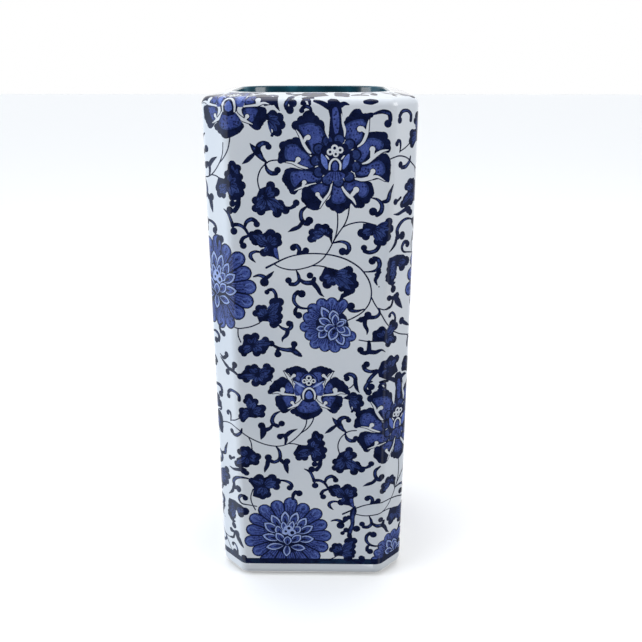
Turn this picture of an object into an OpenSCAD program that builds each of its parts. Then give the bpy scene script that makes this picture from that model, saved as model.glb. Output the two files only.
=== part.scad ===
// Square porcelain vase with cut corners, built from slabs, glazed and printed.
// The front faces -Y, the origin is the centre of the foot's underside, and +Z is up.
// All lengths are in millimetres.

/* [Body] */
// Height from the table to the lip
body_h = 300; // [240:1:360]
// Width across two opposite faces
body_w = 116.5; // [104:0.5:140]
// How far each cut corner reaches back along the faces
corner_cut = 14.4; // [11:0.1:18]
// Radius of the upright edges
edge_r = 7.5; // [2:0.1:9]
// Thickness of the wall slabs
wall_t = 5; // [4:0.5:7]
// Flat stretch that a corner slab takes from each face beside it
seam_flat = 1.2; // [0.5:0.1:3]

/* [Foot] */
// Height of the plain white foot
foot_h = 9.5; // [8:0.5:14]
// Width of the ring of strips that the vase stands on
foot_t = 10; // [8:0.5:14]
// Radius under the foot's outer edge
foot_r = 6; // [2:0.1:8]
// Height of the hollow under the floor slab
recess_h = 2.5; // [1:0.5:4]

/* [Shoulder and mouth] */
// Height of the slab that closes the top
shoulder_h = 8; // [7:0.5:12]
// Radius of the shoulder's outer edge
shoulder_r = 4.5; // [3:0.1:5]
// Slope of the shoulder up to the mouth
shoulder_slope = 10; // [6:1:14]
// Width of the shoulder from the outer face to the mouth
rim_w = 14.5; // [12:0.5:18]
// Radius of the mouth's rounded corners
mouth_r = 22; // [8:1:24]

/* [Coats] */
// Thickness of the printed sheets and the painted band
print_t = 0.15; // [0.1:0.05:0.4]
// Height of the painted band round the foot
band_h = 4.2; // [3:0.1:8]
// Thickness of the dark glaze inside
lining_t = 0.5; // [0.3:0.1:1]

/* [Hidden] */
SIDES = ["front", "right", "back", "left"];
CORNERS = ["front_right", "back_right", "back_left", "front_left"];
$fn = 96;

half_w = body_w / 2;
// Distance from the axis to a cut corner's face
corner_half = (body_w - corner_cut) / sqrt(2);
// Where a face slab ends and its corner slab begins, measured from the face's middle
seam_x = half_w - corner_cut - edge_r * tan(22.5) - seam_flat;
wall_top = body_h - shoulder_h;
band_top = foot_h + band_h;
mouth_half = half_w - rim_w;
// The rounded shoulder edge turns from upright to the slope of the shoulder
edge_turn = 90 - shoulder_slope;
shoulder_edge_z = body_h - shoulder_r * sin(edge_turn)
    - (rim_w - shoulder_r * (1 - cos(edge_turn))) * tan(shoulder_slope);
// Reach of the cutting solids past the vase
past = 1;

clay = [0.86, 0.88, 0.90];
foot_white = [0.90, 0.91, 0.92];
print_blue = [0.13, 0.20, 0.52];
band_blue = [0.07, 0.16, 0.32];
teal_glaze = [0.03, 0.14, 0.18];

// ---- Outlines ----

// How much shorter a cut becomes on an outline moved in by inset
function cut_at(inset) = corner_cut - inset * (2 - sqrt(2));

// The plan of the vase moved in by inset, with sharp corners
module sharp_plan(inset) {
    h = half_w - inset;
    k = h - cut_at(inset);
    polygon([[k, -h], [h, -k], [h, k], [k, h], [-k, h], [-h, k], [-h, -k], [-k, -h]]);
}

// The same plan with its eight corners rounded
module round_plan(inset) {
    h = half_w - inset;
    r = edge_r - inset;
    // Flat part of a face between its two rounded edges
    k = h - cut_at(inset) - r * tan(22.5);
    // A rounded edge's far end, on the cut corner
    e = r * (1 - cos(45));
    f = r * sin(45);
    polygon([for (turn = [0:90:270]) for (p = [[k, -h], [k + f, -h + e], [h - e, -k - f], [h, -k]])
        [p[0] * cos(turn) - p[1] * sin(turn), p[0] * sin(turn) + p[1] * cos(turn)]]);
    for (turn = [0:90:270])
        rotate(turn) {
            translate([k, -h + r]) circle(r);
            translate([h - r, -k]) circle(r);
        }
}

// The mouth moved in by inset: a square with rounded corners
module mouth_plan(inset) {
    h = mouth_half - inset;
    r = mouth_r - inset;
    square([2 * h, 2 * (h - r)], center = true);
    square([2 * (h - r), 2 * h], center = true);
    for (x = [-1, 1]) for (y = [-1, 1])
        translate([x * (h - r), y * (h - r)]) circle(r);
}

// A quarter of the plan that holds one cut corner, turn 0 being the front right one
module corner_quarter(turn) {
    rotate(turn) translate([seam_x, -half_w - past])
        square([half_w + past - seam_x, half_w + past - seam_x]);
}

// ---- Blanks ----

// Upright section across the foot, h being half the width
module foot_section(h) {
    polygon([[-h + foot_r, 0], [h - foot_r, 0], [h, foot_r], [h, foot_h], [-h, foot_h], [-h, foot_r]]);
    for (x = [-1, 1])
        translate([x * (h - foot_r), foot_r]) circle(foot_r);
}

// Upright section across the shoulder, h being half the width before it is moved in by inset
module shoulder_section(h, inset) {
    r = shoulder_r - inset;
    top = body_h - inset;
    edge_x = h - shoulder_r + r * cos(edge_turn);
    edge_z = shoulder_edge_z + r * sin(edge_turn);
    slope_x = edge_x - (top - edge_z) / tan(shoulder_slope);
    outer = h - inset;
    polygon([
        [-outer, wall_top], [outer, wall_top], [outer, shoulder_edge_z], [edge_x, edge_z], [slope_x, top],
        [-slope_x, top], [-edge_x, edge_z], [-outer, shoulder_edge_z]
    ]);
    intersection() {
        for (x = [-1, 1])
            translate([x * (h - shoulder_r), shoulder_edge_z]) circle(r);
        translate([-outer, shoulder_edge_z - past]) square([2 * outer, shoulder_h]);
    }
}

// An upright section run right across the vase, turned to face one way
module run_across(turn) {
    rotate([90, 0, turn + 90]) linear_extrude(2 * body_w, center = true) children();
}

// The foot as a solid block with its rounded underside
module foot_blank() {
    intersection() {
        linear_extrude(foot_h) round_plan(print_t);
        run_across(0) foot_section(half_w - print_t);
        run_across(90) foot_section(half_w - print_t);
        run_across(45) foot_section(corner_half - print_t);
        run_across(135) foot_section(corner_half - print_t);
    }
}

// The shoulder as a solid block, moved in by inset
module shoulder_blank(inset) {
    intersection() {
        translate([0, 0, wall_top]) linear_extrude(shoulder_h) round_plan(inset);
        run_across(0) shoulder_section(half_w, inset);
        run_across(90) shoulder_section(half_w, inset);
        run_across(45) shoulder_section(corner_half, inset);
        run_across(135) shoulder_section(corner_half, inset);
    }
}

// ---- Slabs ----

// One flat wall between two corner slabs
module wall(turn) {
    color(clay) rotate(turn) translate([-seam_x, -half_w + print_t, foot_h])
        cube([2 * seam_x, wall_t - print_t, wall_top - foot_h]);
}

// One upright slab that bends round a cut corner
module corner(turn) {
    color(clay) translate([0, 0, foot_h]) linear_extrude(wall_top - foot_h)
        intersection() {
            difference() {
                round_plan(print_t);
                sharp_plan(wall_t);
            }
            corner_quarter(turn);
        }
}

// One straight strip of the foot
module foot_strip(turn) {
    color(foot_white) intersection() {
        foot_blank();
        rotate(turn) translate([-seam_x, -half_w, 0]) cube([2 * seam_x, foot_t, foot_h]);
    }
}

// One short strip of the foot under a cut corner
module foot_corner(turn) {
    color(foot_white) intersection() {
        foot_blank();
        linear_extrude(foot_h) difference() {
            corner_quarter(turn);
            sharp_plan(foot_t);
        }
    }
}

// The slab that closes the bottom, set between the foot strips
module floor_slab() {
    color(clay) translate([0, 0, recess_h]) linear_extrude(foot_h - recess_h) sharp_plan(foot_t);
}

// The sloping slab on top, cut out for the mouth
module shoulder_slab() {
    color(clay) difference() {
        shoulder_blank(print_t);
        translate([0, 0, wall_top - past]) linear_extrude(shoulder_h + 2 * past) mouth_plan(0);
    }
}

// ---- Coats ----

// The hollow of the vase moved in by inset, and the mouth above it up to the height top
module hollow(inset, top) {
    translate([0, 0, foot_h + inset])
        linear_extrude(wall_top - foot_h - 2 * inset) sharp_plan(wall_t + inset);
    translate([0, 0, wall_top - past - inset])
        linear_extrude(top - wall_top + past + inset) mouth_plan(inset);
}

// The dark glaze over everything inside, up to the lip
module inner_glaze() {
    lip_z = body_h - print_t;
    color(teal_glaze) difference() {
        hollow(0, lip_z);
        hollow(lining_t, lip_z + past);
    }
}

// The painted line round the top of the foot
module painted_band() {
    color(band_blue) translate([0, 0, foot_h]) linear_extrude(band_h) difference() {
        round_plan(0);
        round_plan(print_t);
    }
}

// One printed sheet: a face and the cut corner to its right
module print_sheet(turn) {
    color(print_blue) translate([0, 0, band_top]) linear_extrude(wall_top - band_top) intersection() {
        difference() {
            round_plan(0);
            round_plan(print_t);
        }
        union() {
            rotate(turn) translate([-seam_x, -half_w - past]) square([2 * seam_x, wall_t]);
            corner_quarter(turn);
        }
    }
}

// The printed sheet over the shoulder
module print_shoulder() {
    color(print_blue) difference() {
        shoulder_blank(0);
        shoulder_blank(print_t);
        translate([0, 0, wall_top - past]) linear_extrude(shoulder_h + 2 * past) mouth_plan(0);
    }
}

for (i = [0:3]) {
    wall(90 * i);
    corner(90 * i);
    foot_strip(90 * i);
    foot_corner(90 * i);
    print_sheet(90 * i);
}
floor_slab();
shoulder_slab();
inner_glaze();
painted_band();
print_shoulder();
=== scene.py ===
from math import atan2, ceil, cos, floor, hypot, pi, radians, sin, sqrt, tan

import bpy
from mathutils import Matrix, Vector
from mathutils.bvhtree import BVHTree
from mathutils.geometry import delaunay_2d_cdt


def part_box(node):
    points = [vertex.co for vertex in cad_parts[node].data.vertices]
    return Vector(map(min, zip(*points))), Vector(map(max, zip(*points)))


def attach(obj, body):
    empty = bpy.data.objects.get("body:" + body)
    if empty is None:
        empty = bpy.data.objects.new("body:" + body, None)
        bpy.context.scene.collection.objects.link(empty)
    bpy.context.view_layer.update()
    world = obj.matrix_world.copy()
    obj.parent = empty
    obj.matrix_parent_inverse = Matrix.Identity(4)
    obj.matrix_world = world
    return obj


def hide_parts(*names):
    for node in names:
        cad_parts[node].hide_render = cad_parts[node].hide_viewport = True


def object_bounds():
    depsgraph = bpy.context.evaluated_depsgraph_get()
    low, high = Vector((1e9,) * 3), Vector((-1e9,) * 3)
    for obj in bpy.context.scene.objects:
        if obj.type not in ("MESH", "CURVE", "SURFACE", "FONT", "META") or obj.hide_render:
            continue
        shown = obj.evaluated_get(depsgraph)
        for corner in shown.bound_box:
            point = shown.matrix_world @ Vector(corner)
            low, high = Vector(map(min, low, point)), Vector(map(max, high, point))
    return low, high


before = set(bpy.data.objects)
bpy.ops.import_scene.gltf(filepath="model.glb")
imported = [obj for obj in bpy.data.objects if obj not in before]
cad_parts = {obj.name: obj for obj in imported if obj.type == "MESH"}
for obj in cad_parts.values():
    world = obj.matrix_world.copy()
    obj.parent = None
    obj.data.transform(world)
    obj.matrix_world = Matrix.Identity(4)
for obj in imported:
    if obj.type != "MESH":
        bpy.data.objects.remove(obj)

cad_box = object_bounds()

# A tall square porcelain vase with cut corners. Lengths here are millimetres until a mesh is made.
MM = 0.001

# ---- Sizes, from the frame where it has them ----

BODY_H = cad_box[1].z / MM
HALF_W = cad_box[1].x / MM
FOOT_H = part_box("wall_front")[0].z / MM
WALL_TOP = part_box("wall_front")[1].z / MM
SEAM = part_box("wall_front")[1].x / MM
BAND_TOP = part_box("painted_band")[1].z / MM
SKIN_T = HALF_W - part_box("wall_right")[1].x / MM
FOOT_T = HALF_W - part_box("floor_slab")[1].x / MM
MOUTH_HALF = 43.75
MOUTH_R = 22.0
CORNER_CUT = 14.4
EDGE_R = 7.5
WALL_T = 5.0
FOOT_R = 6.0
LINING_T = 0.5
SHOULDER_R = 4.5
SHOULDER_TURN = radians(80)
SHOULDER_SLOPE = tan(radians(10))
RIM_W = HALF_W - MOUTH_HALF
LIP_R = 1.25

# ---- The outer surface, unrolled ----
# u runs to the right round the vase from the middle of the front, measured as if the upright edges
# were sharp. v runs up the wall from the table, and on over the shoulder towards the mouth.

TANGENT = EDGE_R * tan(radians(22.5))
FLAT = HALF_W - CORNER_CUT
CUT = CORNER_CUT * sqrt(2)
QUARTER = 2 * FLAT + CUT
ROUND = 4 * QUARTER
EDGE_Z = (BODY_H - SHOULDER_R * sin(SHOULDER_TURN)
          - (RIM_W - SHOULDER_R * (1 - cos(SHOULDER_TURN))) * SHOULDER_SLOPE)
SLOPE_V = EDGE_Z + SHOULDER_R * SHOULDER_TURN
PRINT_END = 12.9
PRINT_TOP = SLOPE_V + (PRINT_END - SHOULDER_R * (1 - cos(SHOULDER_TURN))) / sin(SHOULDER_TURN)


def corner_share(u):
    """Splits u into a quarter turn and how far u is along each of that quarter's five stretches."""
    turn = floor(u / QUARTER)
    t = u - turn * QUARTER
    ends = [0, FLAT - TANGENT, FLAT + TANGENT, FLAT + CUT - TANGENT, FLAT + CUT + TANGENT, QUARTER]
    for i in range(5):
        if t <= ends[i + 1] or i == 4:
            return turn, i, (t - ends[i]) / (ends[i + 1] - ends[i])


def turned(x, y, turn):
    """The point turned by quarter turns, anticlockwise from above."""
    for _ in range(turn % 4):
        x, y = -y, x
    return x, y


def plan(u, inset):
    """The plan's outline at u, moved in by inset: x, y, and the angle that it faces."""
    turn, part, t = corner_share(u)
    h = HALF_W - inset
    k = FLAT - TANGENT - inset * (sqrt(2) - 1)
    first, second = (k, -h + EDGE_R), (h - EDGE_R, -k)
    if part == 0:
        x, y, a = k * t, -h, -pi / 2
    elif part == 1:
        a = -pi / 2 + pi / 4 * t
        x, y = first[0] + EDGE_R * cos(a), first[1] + EDGE_R * sin(a)
    elif part == 2:
        a = -pi / 4
        x = first[0] + (second[0] - first[0]) * t + EDGE_R * cos(a)
        y = first[1] + (second[1] - first[1]) * t + EDGE_R * sin(a)
    elif part == 3:
        a = -pi / 4 + pi / 4 * t
        x, y = second[0] + EDGE_R * cos(a), second[1] + EDGE_R * sin(a)
    else:
        x, y, a = h, -k * (1 - t), 0.0
    x, y = turned(x, y, turn)
    return x, y, a + turn * pi / 2


def mouth(u, inset):
    """The mouth's outline at u, moved in by inset: x, y, and the angle that it faces outwards."""
    turn, part, t = corner_share(u)
    h, r = MOUTH_HALF - inset, MOUTH_R - inset
    k = h - r
    if part == 0:
        x, y, a = k * t, -h, -pi / 2
    elif part == 4:
        x, y, a = h, -k * (1 - t), 0.0
    else:
        a = -pi / 2 + pi / 6 * (part - 1 + t)
        x, y = k + r * cos(a), -k + r * sin(a)
    x, y = turned(x, y, turn)
    return x, y, a + turn * pi / 2


def rise(v):
    """How far in, how high and how far tilted back the surface is at v."""
    if v <= EDGE_Z:
        return 0.0, v, 0.0
    if v <= SLOPE_V:
        a = (v - EDGE_Z) / SHOULDER_R
        return SHOULDER_R * (1 - cos(a)), EDGE_Z + SHOULDER_R * sin(a), a
    a = SHOULDER_TURN
    s = v - SLOPE_V
    return (SHOULDER_R * (1 - cos(a)) + s * sin(a), EDGE_Z + SHOULDER_R * sin(a) + s * cos(a), a)


def outside(u, v, depth=0.0):
    """The outer surface at u, v, or the point that deep under it, in metres, with its normal."""
    inset, z, tilt = rise(v)
    x, y, a = plan(u, inset)
    n = Vector((cos(a) * cos(tilt), sin(a) * cos(tilt), sin(tilt)))
    return (Vector((x, y, z)) - n * depth) * MM, n


# Where the sheets and the sweeps bend: across each upright rounded edge, and over the shoulder
BENDS_A_ROUND = 8
EDGE_BENDS = [at - TANGENT + 2 * TANGENT * i / BENDS_A_ROUND
              for at in (FLAT, FLAT + CUT) for i in range(BENDS_A_ROUND + 1)]
SHOULDER_BENDS = [EDGE_Z + SHOULDER_R * SHOULDER_TURN * i / 12 for i in range(13)]


def bends_between(u0, u1):
    """Every bend of the upright edges from u0 to u1."""
    found = []
    for turn in range(floor(u0 / QUARTER) - 1, ceil(u1 / QUARTER) + 1):
        found += [turn * QUARTER + b for b in EDGE_BENDS if u0 < turn * QUARTER + b < u1]
    return found


# ---- Meshes ----

def make(name, points, faces, normals, materials, inks=None):
    """A mesh object with its own normal at every face corner."""
    mesh = bpy.data.meshes.new(name)
    mesh.from_pydata(points, [], faces)
    for material in materials:
        mesh.materials.append(material)
    if inks:
        mesh.polygons.foreach_set("material_index", inks)
    mesh.polygons.foreach_set("use_smooth", [True] * len(faces))
    mesh.normals_split_custom_set(normals)
    mesh.update()
    piece = bpy.data.objects.new(name, mesh)
    bpy.context.scene.collection.objects.link(piece)
    return piece


def across(a, b, c):
    """The unit normal of a triangle."""
    n = (b - a).cross(c - a)
    return n.normalized() if n.length > 0 else Vector((0, 0, 1))


def sweep(name, rings, materials, closed=True):
    """Joins rings of (point, normal) samples into a closed body. A ring of one sample is a pole.

    The rings go once round the section, anticlockwise seen along the sweep. A sweep that isn't
    closed round the vase gets flat ends."""
    points, sample_normals, starts = [], [], []
    for ring in rings:
        starts.append(len(points))
        points += [p for p, n in ring]
        sample_normals += [n for p, n in ring]
    faces, normals = [], []
    count = len(rings)
    for j in range(count):
        a, b = starts[j], starts[(j + 1) % count]
        na, nb = len(rings[j]), len(rings[(j + 1) % count])
        n = max(na, nb)
        if n == 1:
            continue
        for i in range(n if closed else n - 1):
            k = (i + 1) % n
            if na == 1:
                face = [a, b + i, b + k]
            elif nb == 1:
                face = [a + i, b, a + k]
            else:
                face = [a + i, b + i, b + k, a + k]
            faces.append(face[::-1])
            flat = None
            for corner in face[::-1]:
                normal = sample_normals[corner]
                if normal is None:
                    flat = flat or across(*[points[q] for q in face[::-1][:3]])
                    normal = flat
                normals.append(normal)
    if not closed:
        for side in (0, -1):
            cap = [starts[j] + (0 if side == 0 else len(rings[j]) - 1) for j in range(count)]
            cap = cap if side == 0 else cap[::-1]
            faces.append(cap)
            out = across(points[cap[0]], points[cap[1]], points[cap[2]])
            normals += [out] * len(cap)
    return make(name, points, faces, normals, materials)


def round_samples(u0, u1):
    """Where a sweep is cut between u0 and u1."""
    samples = [u0] + bends_between(u0, u1) + [u1]
    for turn in range(floor(u0 / QUARTER) - 1, ceil(u1 / QUARTER) + 1):
        for i in range(1, 6):
            samples.append(turn * QUARTER + FLAT + TANGENT + (CUT - 2 * TANGENT) * i / 6)
        for i in range(-2, 3):
            samples.append(turn * QUARTER + (FLAT - TANGENT) * i / 3)
    samples = sorted(u for u in samples if u0 - 1e-9 <= u <= u1 + 1e-9)
    return [u for i, u in enumerate(samples) if i == 0 or u - samples[i - 1] > 1e-6]


# ---- Printed sheets ----

# How far a printed line may move when its needless points are dropped, and how near points merge
SLACK = 0.02
MERGE = 0.0001

def simplified(points, edges, fixed, slack):
    """Drops points from chains of edges where that moves the line by less than slack."""
    beside = {}
    for a, b in edges:
        beside.setdefault(a, []).append(b)
        beside.setdefault(b, []).append(a)
    stops = {p for p, near in beside.items() if len(near) != 2 or p in fixed}
    done, out = set(), []

    def walk(start, second):
        chain = [start, second]
        while chain[-1] not in stops and chain[-1] != start:
            near = beside[chain[-1]]
            chain.append(near[0] if near[0] != chain[-2] else near[1])
        return chain

    def thin(chain):
        keep = [0, len(chain) - 1]
        work = [(0, len(chain) - 1)]
        while work:
            i, j = work.pop()
            (ax, ay), (bx, by) = points[chain[i]], points[chain[j]]
            length = hypot(bx - ax, by - ay)
            worst, at = slack, None
            for k in range(i + 1, j):
                px, py = points[chain[k]]
                if length < 1e-9:
                    off = hypot(px - ax, py - ay)
                else:
                    off = abs((bx - ax) * (py - ay) - (by - ay) * (px - ax)) / length
                if off > worst:
                    worst, at = off, k
            if at is not None:
                keep.append(at)
                work += [(i, at), (at, j)]
        keep.sort()
        return [chain[k] for k in keep]

    def take(chain):
        for a, b in zip(chain, chain[1:]):
            done.add((min(a, b), max(a, b)))
        short = thin(chain)
        out.extend(zip(short, short[1:]))

    for start in sorted(stops):
        for second in beside[start]:
            if (min(start, second), max(start, second)) not in done:
                take(walk(start, second))
    for a, b in edges:
        if (min(a, b), max(a, b)) not in done:
            loop = walk(a, b)
            take(loop)
    return out


def turn_left(outline):
    """The outline anticlockwise."""
    twice = sum(a[0] * b[1] - b[0] * a[1] for a, b in zip(outline, outline[1:] + outline[:1]))
    return outline if twice > 0 else outline[::-1]


def arrange(u0, u1, v0, v1, shapes, u_bends, v_bends, ground):
    """Paints the shapes in order on the rectangle, and returns its points, triangles and inks."""
    points = [(u0, v0), (u1, v0), (u1, v1), (u0, v1)]
    faces, order = [[0, 1, 2, 3]], [ground]
    for ink, outline in shapes:
        faces.append(list(range(len(points), len(points) + len(outline))))
        points += turn_left(outline)
        order.append(ink)
    out = delaunay_2d_cdt([Vector(p) for p in points], [], faces, 0, MERGE, True)
    flat, triangles, sources = out[0], out[2], out[5]
    kept = [(t, order[max(s)]) for t, s in zip(triangles, sources) if 0 in s]
    tree = BVHTree.FromPolygons([(p.x, p.y, 0) for p in flat], [t for t, ink in kept])
    # Only the lines between two inks, and round the sheet, are needed again
    sides = {}
    for t, ink in kept:
        for a, b in zip(t, list(t[1:]) + [t[0]]):
            sides.setdefault((min(a, b), max(a, b)), []).append(ink)
    edges = [e for e, found in sides.items() if len(found) == 1 or found[0] != found[1]]
    rim = {p for e, found in sides.items() if len(found) == 1 for p in e}
    corners = {i for i in rim if flat[i].x in (u0, u1) and flat[i].y in (v0, v1)}
    edges = simplified([(p.x, p.y) for p in flat], edges, corners, SLACK)
    used = sorted({i for e in edges for i in e})
    place = {i: k for k, i in enumerate(used)}
    points = [(flat[i].x, flat[i].y) for i in used]
    edges = [(place[a], place[b]) for a, b in edges]
    for u in u_bends:
        edges.append((len(points), len(points) + 1))
        points += [(u, v0), (u, v1)]
    for v in v_bends:
        edges.append((len(points), len(points) + 1))
        points += [(u0, v), (u1, v)]
    out = delaunay_2d_cdt([Vector(p) for p in points], edges, [], 0, MERGE, True)
    flat, triangles, inks = [(p.x, p.y) for p in out[0]], [], []
    for t in out[2]:
        x = sum(flat[i][0] for i in t) / 3
        y = sum(flat[i][1] for i in t) / 3
        hit = tree.ray_cast(Vector((x, y, 1)), Vector((0, 0, -1)))
        if hit[2] is None:
            hit = tree.find_nearest(Vector((x, y, 0)))
        triangles.append(list(t))
        inks.append(kept[hit[2]][1])
    return flat, triangles, inks


def sheet(name, u0, u1, v0, v1, shapes, v_bends, materials, ground, depth):
    """A closed sheet as thick as depth on the vase's outer surface, printed with the shapes."""
    u_bends = bends_between(u0, u1)
    flat, triangles, inks = arrange(u0, u1, v0, v1, shapes, u_bends, v_bends, ground)
    points, faces, normals, slots = [], [], [], []
    tops = [outside(u, v) for u, v in flat]
    points += [p for p, n in tops]
    for t, ink in zip(triangles, inks):
        faces.append(t)
        slots.append(ink)
        normals += [tops[i][1] for i in t]
    # The rim of the sheet, in order
    around = {}
    for t in triangles:
        for a, b in zip(t, t[1:] + t[:1]):
            around[(a, b)] = True
    ahead = {a: b for a, b in around if (b, a) not in around}
    first = min(ahead)
    rim = [first]
    while ahead[rim[-1]] != first:
        rim.append(ahead[rim[-1]])
    # The hidden side has only the rim's points and the bends
    under = [flat[i] for i in rim]
    edges = [(i, (i + 1) % len(rim)) for i in range(len(rim))]
    for u in u_bends:
        edges.append((len(under), len(under) + 1))
        under += [(u, v0), (u, v1)]
    for v in v_bends:
        edges.append((len(under), len(under) + 1))
        under += [(u0, v), (u1, v)]
    out = delaunay_2d_cdt([Vector(p) for p in under], edges, [], 0, MERGE, True)
    base = len(points)
    lows = [outside(p.x, p.y, depth) for p in out[0]]
    below = {}
    for i, sources in enumerate(out[3]):
        for s in sources:
            if s < len(rim):
                below[s] = base + i
    points += [p for p, n in lows]
    for t in out[2]:
        faces.append([base + i for i in t[::-1]])
        slots.append(ground)
        normals += [-lows[i][1] for i in t[::-1]]
    for i in range(len(rim)):
        k = (i + 1) % len(rim)
        face = [rim[k], rim[i], below[i], below[k]]
        faces.append(face)
        slots.append(ground)
        normals += [across(*[points[q] for q in face[:3]])] * 4
    return make(name, points, faces, normals, materials, slots)

# ---- The print, drawn flat ----
# u runs round the vase to the right and v runs up it, in millimetres. The points were placed
# over the photo, laid out flat on a millimetre grid.

NAVY, COBALT, LIGHT, PALE, BARE, LINE, DUSK, SOFT = range(8)


def disc(u, v, r, sides=12):
    """A round dot as a polygon."""
    return [(u + r * cos(2 * pi * i / sides), v + r * sin(2 * pi * i / sides)) for i in range(sides)]


def hull(points):
    """The convex outline of a few points, counter-clockwise."""
    points = sorted(set(points))
    if len(points) < 3:
        return points
    def half(row):
        out = []
        for p in row:
            while len(out) > 1 and ((out[-1][0] - out[-2][0]) * (p[1] - out[-2][1])
                                    - (out[-1][1] - out[-2][1]) * (p[0] - out[-2][0])) <= 1e-9:
                out.pop()
            out.append(p)
        return out[:-1]
    return half(points) + half(points[::-1])


def spline(points, steps=4, closed=False):
    """A smooth curve through the points, with every coordinate (and width) blended."""
    n = len(points)
    spans = n if closed else n - 1
    out = []
    for i in range(spans):
        if closed:
            p = [points[(i + k) % n] for k in (-1, 0, 1, 2)]
        else:
            p = [points[min(max(i + k, 0), n - 1)] for k in (-1, 0, 1, 2)]
        for s in range(steps):
            t = s / steps
            out.append(tuple(
                0.5 * (2 * b + (c - a) * t + (2 * a - 5 * b + 4 * c - d) * t * t
                       + (3 * b - a - 3 * c + d) * t ** 3)
                for a, b, c, d in zip(*p)))
    if not closed:
        out.append(tuple(points[-1]))
    return out


def stroke(ink, *points, steps=4, grow=0.0):
    """A brush stroke through (u, v, width) points with round ends."""
    line = spline(points, steps)
    sides = []
    for i, (u, v, w) in enumerate(line):
        a, b = line[max(i - 1, 0)], line[min(i + 1, len(line) - 1)]
        du, dv = b[0] - a[0], b[1] - a[1]
        length = hypot(du, dv) or 1.0
        h = max(w, 0.1) / 2 + grow
        sides.append(((u - dv / length * h, v + du / length * h),
                      (u + dv / length * h, v - du / length * h)))
    shapes = [(ink, hull([*sides[i], *sides[i + 1]])) for i in range(len(sides) - 1)]
    for u, v, w in (line[0], line[-1]):
        if w / 2 + grow > 0.3:
            shapes.append((ink, disc(u, v, w / 2 + grow, 10)))
    return shapes


def area(ink, *points, smooth=0):
    """A filled outline, smoothed if asked."""
    return [(ink, [(p[0], p[1]) for p in (spline(points, smooth, closed=True) if smooth else points)])]


def dots(ink, *places):
    """Filled dots at (u, v, radius)."""
    return [(ink, disc(u, v, r, 8 if r < 1.2 else 12)) for u, v, r in places]


def curl(*points, head):
    """A tendril whose widest end rolls into a dark round head, with a lighter streak along it."""
    streak = [(u, v, 0.38 * w) for u, v, w in points[1:-1] if w > 1.5]
    shapes = stroke(NAVY, *points) + dots(NAVY, head)
    if len(streak) > 1:
        shapes += stroke(DUSK, *streak)
    return shapes


def toward(a, b, share, side=0.0):
    """The point that share of the way from a to b, pushed to the left by side times their distance."""
    du, dv = b[0] - a[0], b[1] - a[1]
    return (a[0] + du * share - dv * side, a[1] + dv * share + du * side)


def leaf(body, lobes, base):
    """A dark scalloped leaf: a blue blade reaches from its base into each lobe, with a dark vein."""
    shapes = area(NAVY, *body) + dots(NAVY, *lobes)
    blades, veins = [], []
    for u, v, r in lobes:
        length = hypot(u - base[0], v - base[1])
        if length < 1.3 * r:
            continue
        reach = 1 - 0.15 * r / length
        start = min(0.3, 1.2 / length)
        a, b = toward(base, (u, v), start), toward(base, (u, v), reach)
        blades += [(DUSK, lens(a, b, min(1.25 * r, 0.45 * length)))]
        veins += stroke(NAVY, (*toward(base, (u, v), start), 0.5), (*toward(base, (u, v), 0.5, 0.07), 0.4),
                        (*toward(base, (u, v), 0.9 * reach), 0.3), steps=2)
    return shapes + blades + veins


def lens(base, tip, width):
    """A pointed petal from its base to its tip."""
    du, dv = tip[0] - base[0], tip[1] - base[1]
    length = hypot(du, dv)
    ax, ay = du / length, dv / length
    out = []
    half = [(0.0, 0.12), (0.25, 0.72), (0.5, 1.0), (0.72, 0.86), (0.88, 0.48), (1.0, 0.0)]
    for t, h in half:
        out.append((base[0] + du * t + ay * h * width / 2, base[1] + dv * t - ax * h * width / 2))
    for t, h in half[-2::-1]:
        out.append((base[0] + du * t - ay * h * width / 2, base[1] + dv * t + ax * h * width / 2))
    return out


def pointed_petal(base, tip, width):
    """A pale-edged petal: navy shadow, pale rim, blue blade and a dark heart."""
    def part(t0, t1, w):
        return lens(toward(base, tip, t0), toward(base, tip, t1), w)
    return [(NAVY, part(-0.05, 1.07, width + 1.2)), (PALE, part(0, 1, width)),
            (NAVY, part(0.02, 0.87, width - 1.7)), (COBALT, part(0.05, 0.82, width - 2.3)),
            (NAVY, part(0.12, 0.55, max(width - 4.0, 0.5)))]


def daisy(u, v, radius, first, last, count, tip_r, heart):
    """A ring of round-ended petals with dark gaps, from angle first to last, round a dark heart."""
    shapes = dots(NAVY, (u, v, heart))

    def petal(i):
        """How far out petal i's round end is, and a function for places along and across it."""
        a = radians(first + (last - first) * i / (count - 1))
        ca, sa = cos(a), sin(a)

        def at(t, off=0.0):
            return (u + ca * t - sa * off, v + sa * t + ca * off)

        return radius * (1 + 0.035 * sin(2.7 * i + 1)) - tip_r, at

    for i in range(count):
        rc, at = petal(i)
        shapes += [(NAVY, disc(*at(rc), tip_r, 14))]
        shapes += stroke(NAVY, (*at(heart * 0.5), tip_r * 1.1), (*at(rc), tip_r * 2), steps=1)
    for i in range(count):
        rc, at = petal(i)
        shapes += [(COBALT, disc(*at(rc), tip_r * 0.84, 14))]
        shapes += [(COBALT, [at(rc - 0.2 * tip_r, -0.82 * tip_r), at(rc - 0.2 * tip_r, 0.82 * tip_r),
                             at(heart * 0.78, 0.42 * tip_r), at(heart * 0.78, -0.42 * tip_r)][::-1])]
        shapes += [(SOFT, lens(at(rc - 0.6 * tip_r), at(rc + 0.8 * tip_r), tip_r * 1.15))]
        shapes += [(COBALT, lens(at(rc - 0.6 * tip_r), at(rc + 0.6 * tip_r), tip_r * 0.6))]
        for off in (-0.42, 0.0, 0.42):
            shapes += stroke(NAVY, (*at(heart * 0.75, off * tip_r * 0.6), 0.45),
                             (*at(rc + (0.1 - abs(off)) * tip_r, off * tip_r), 0.22), steps=1)
    return shapes


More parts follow.
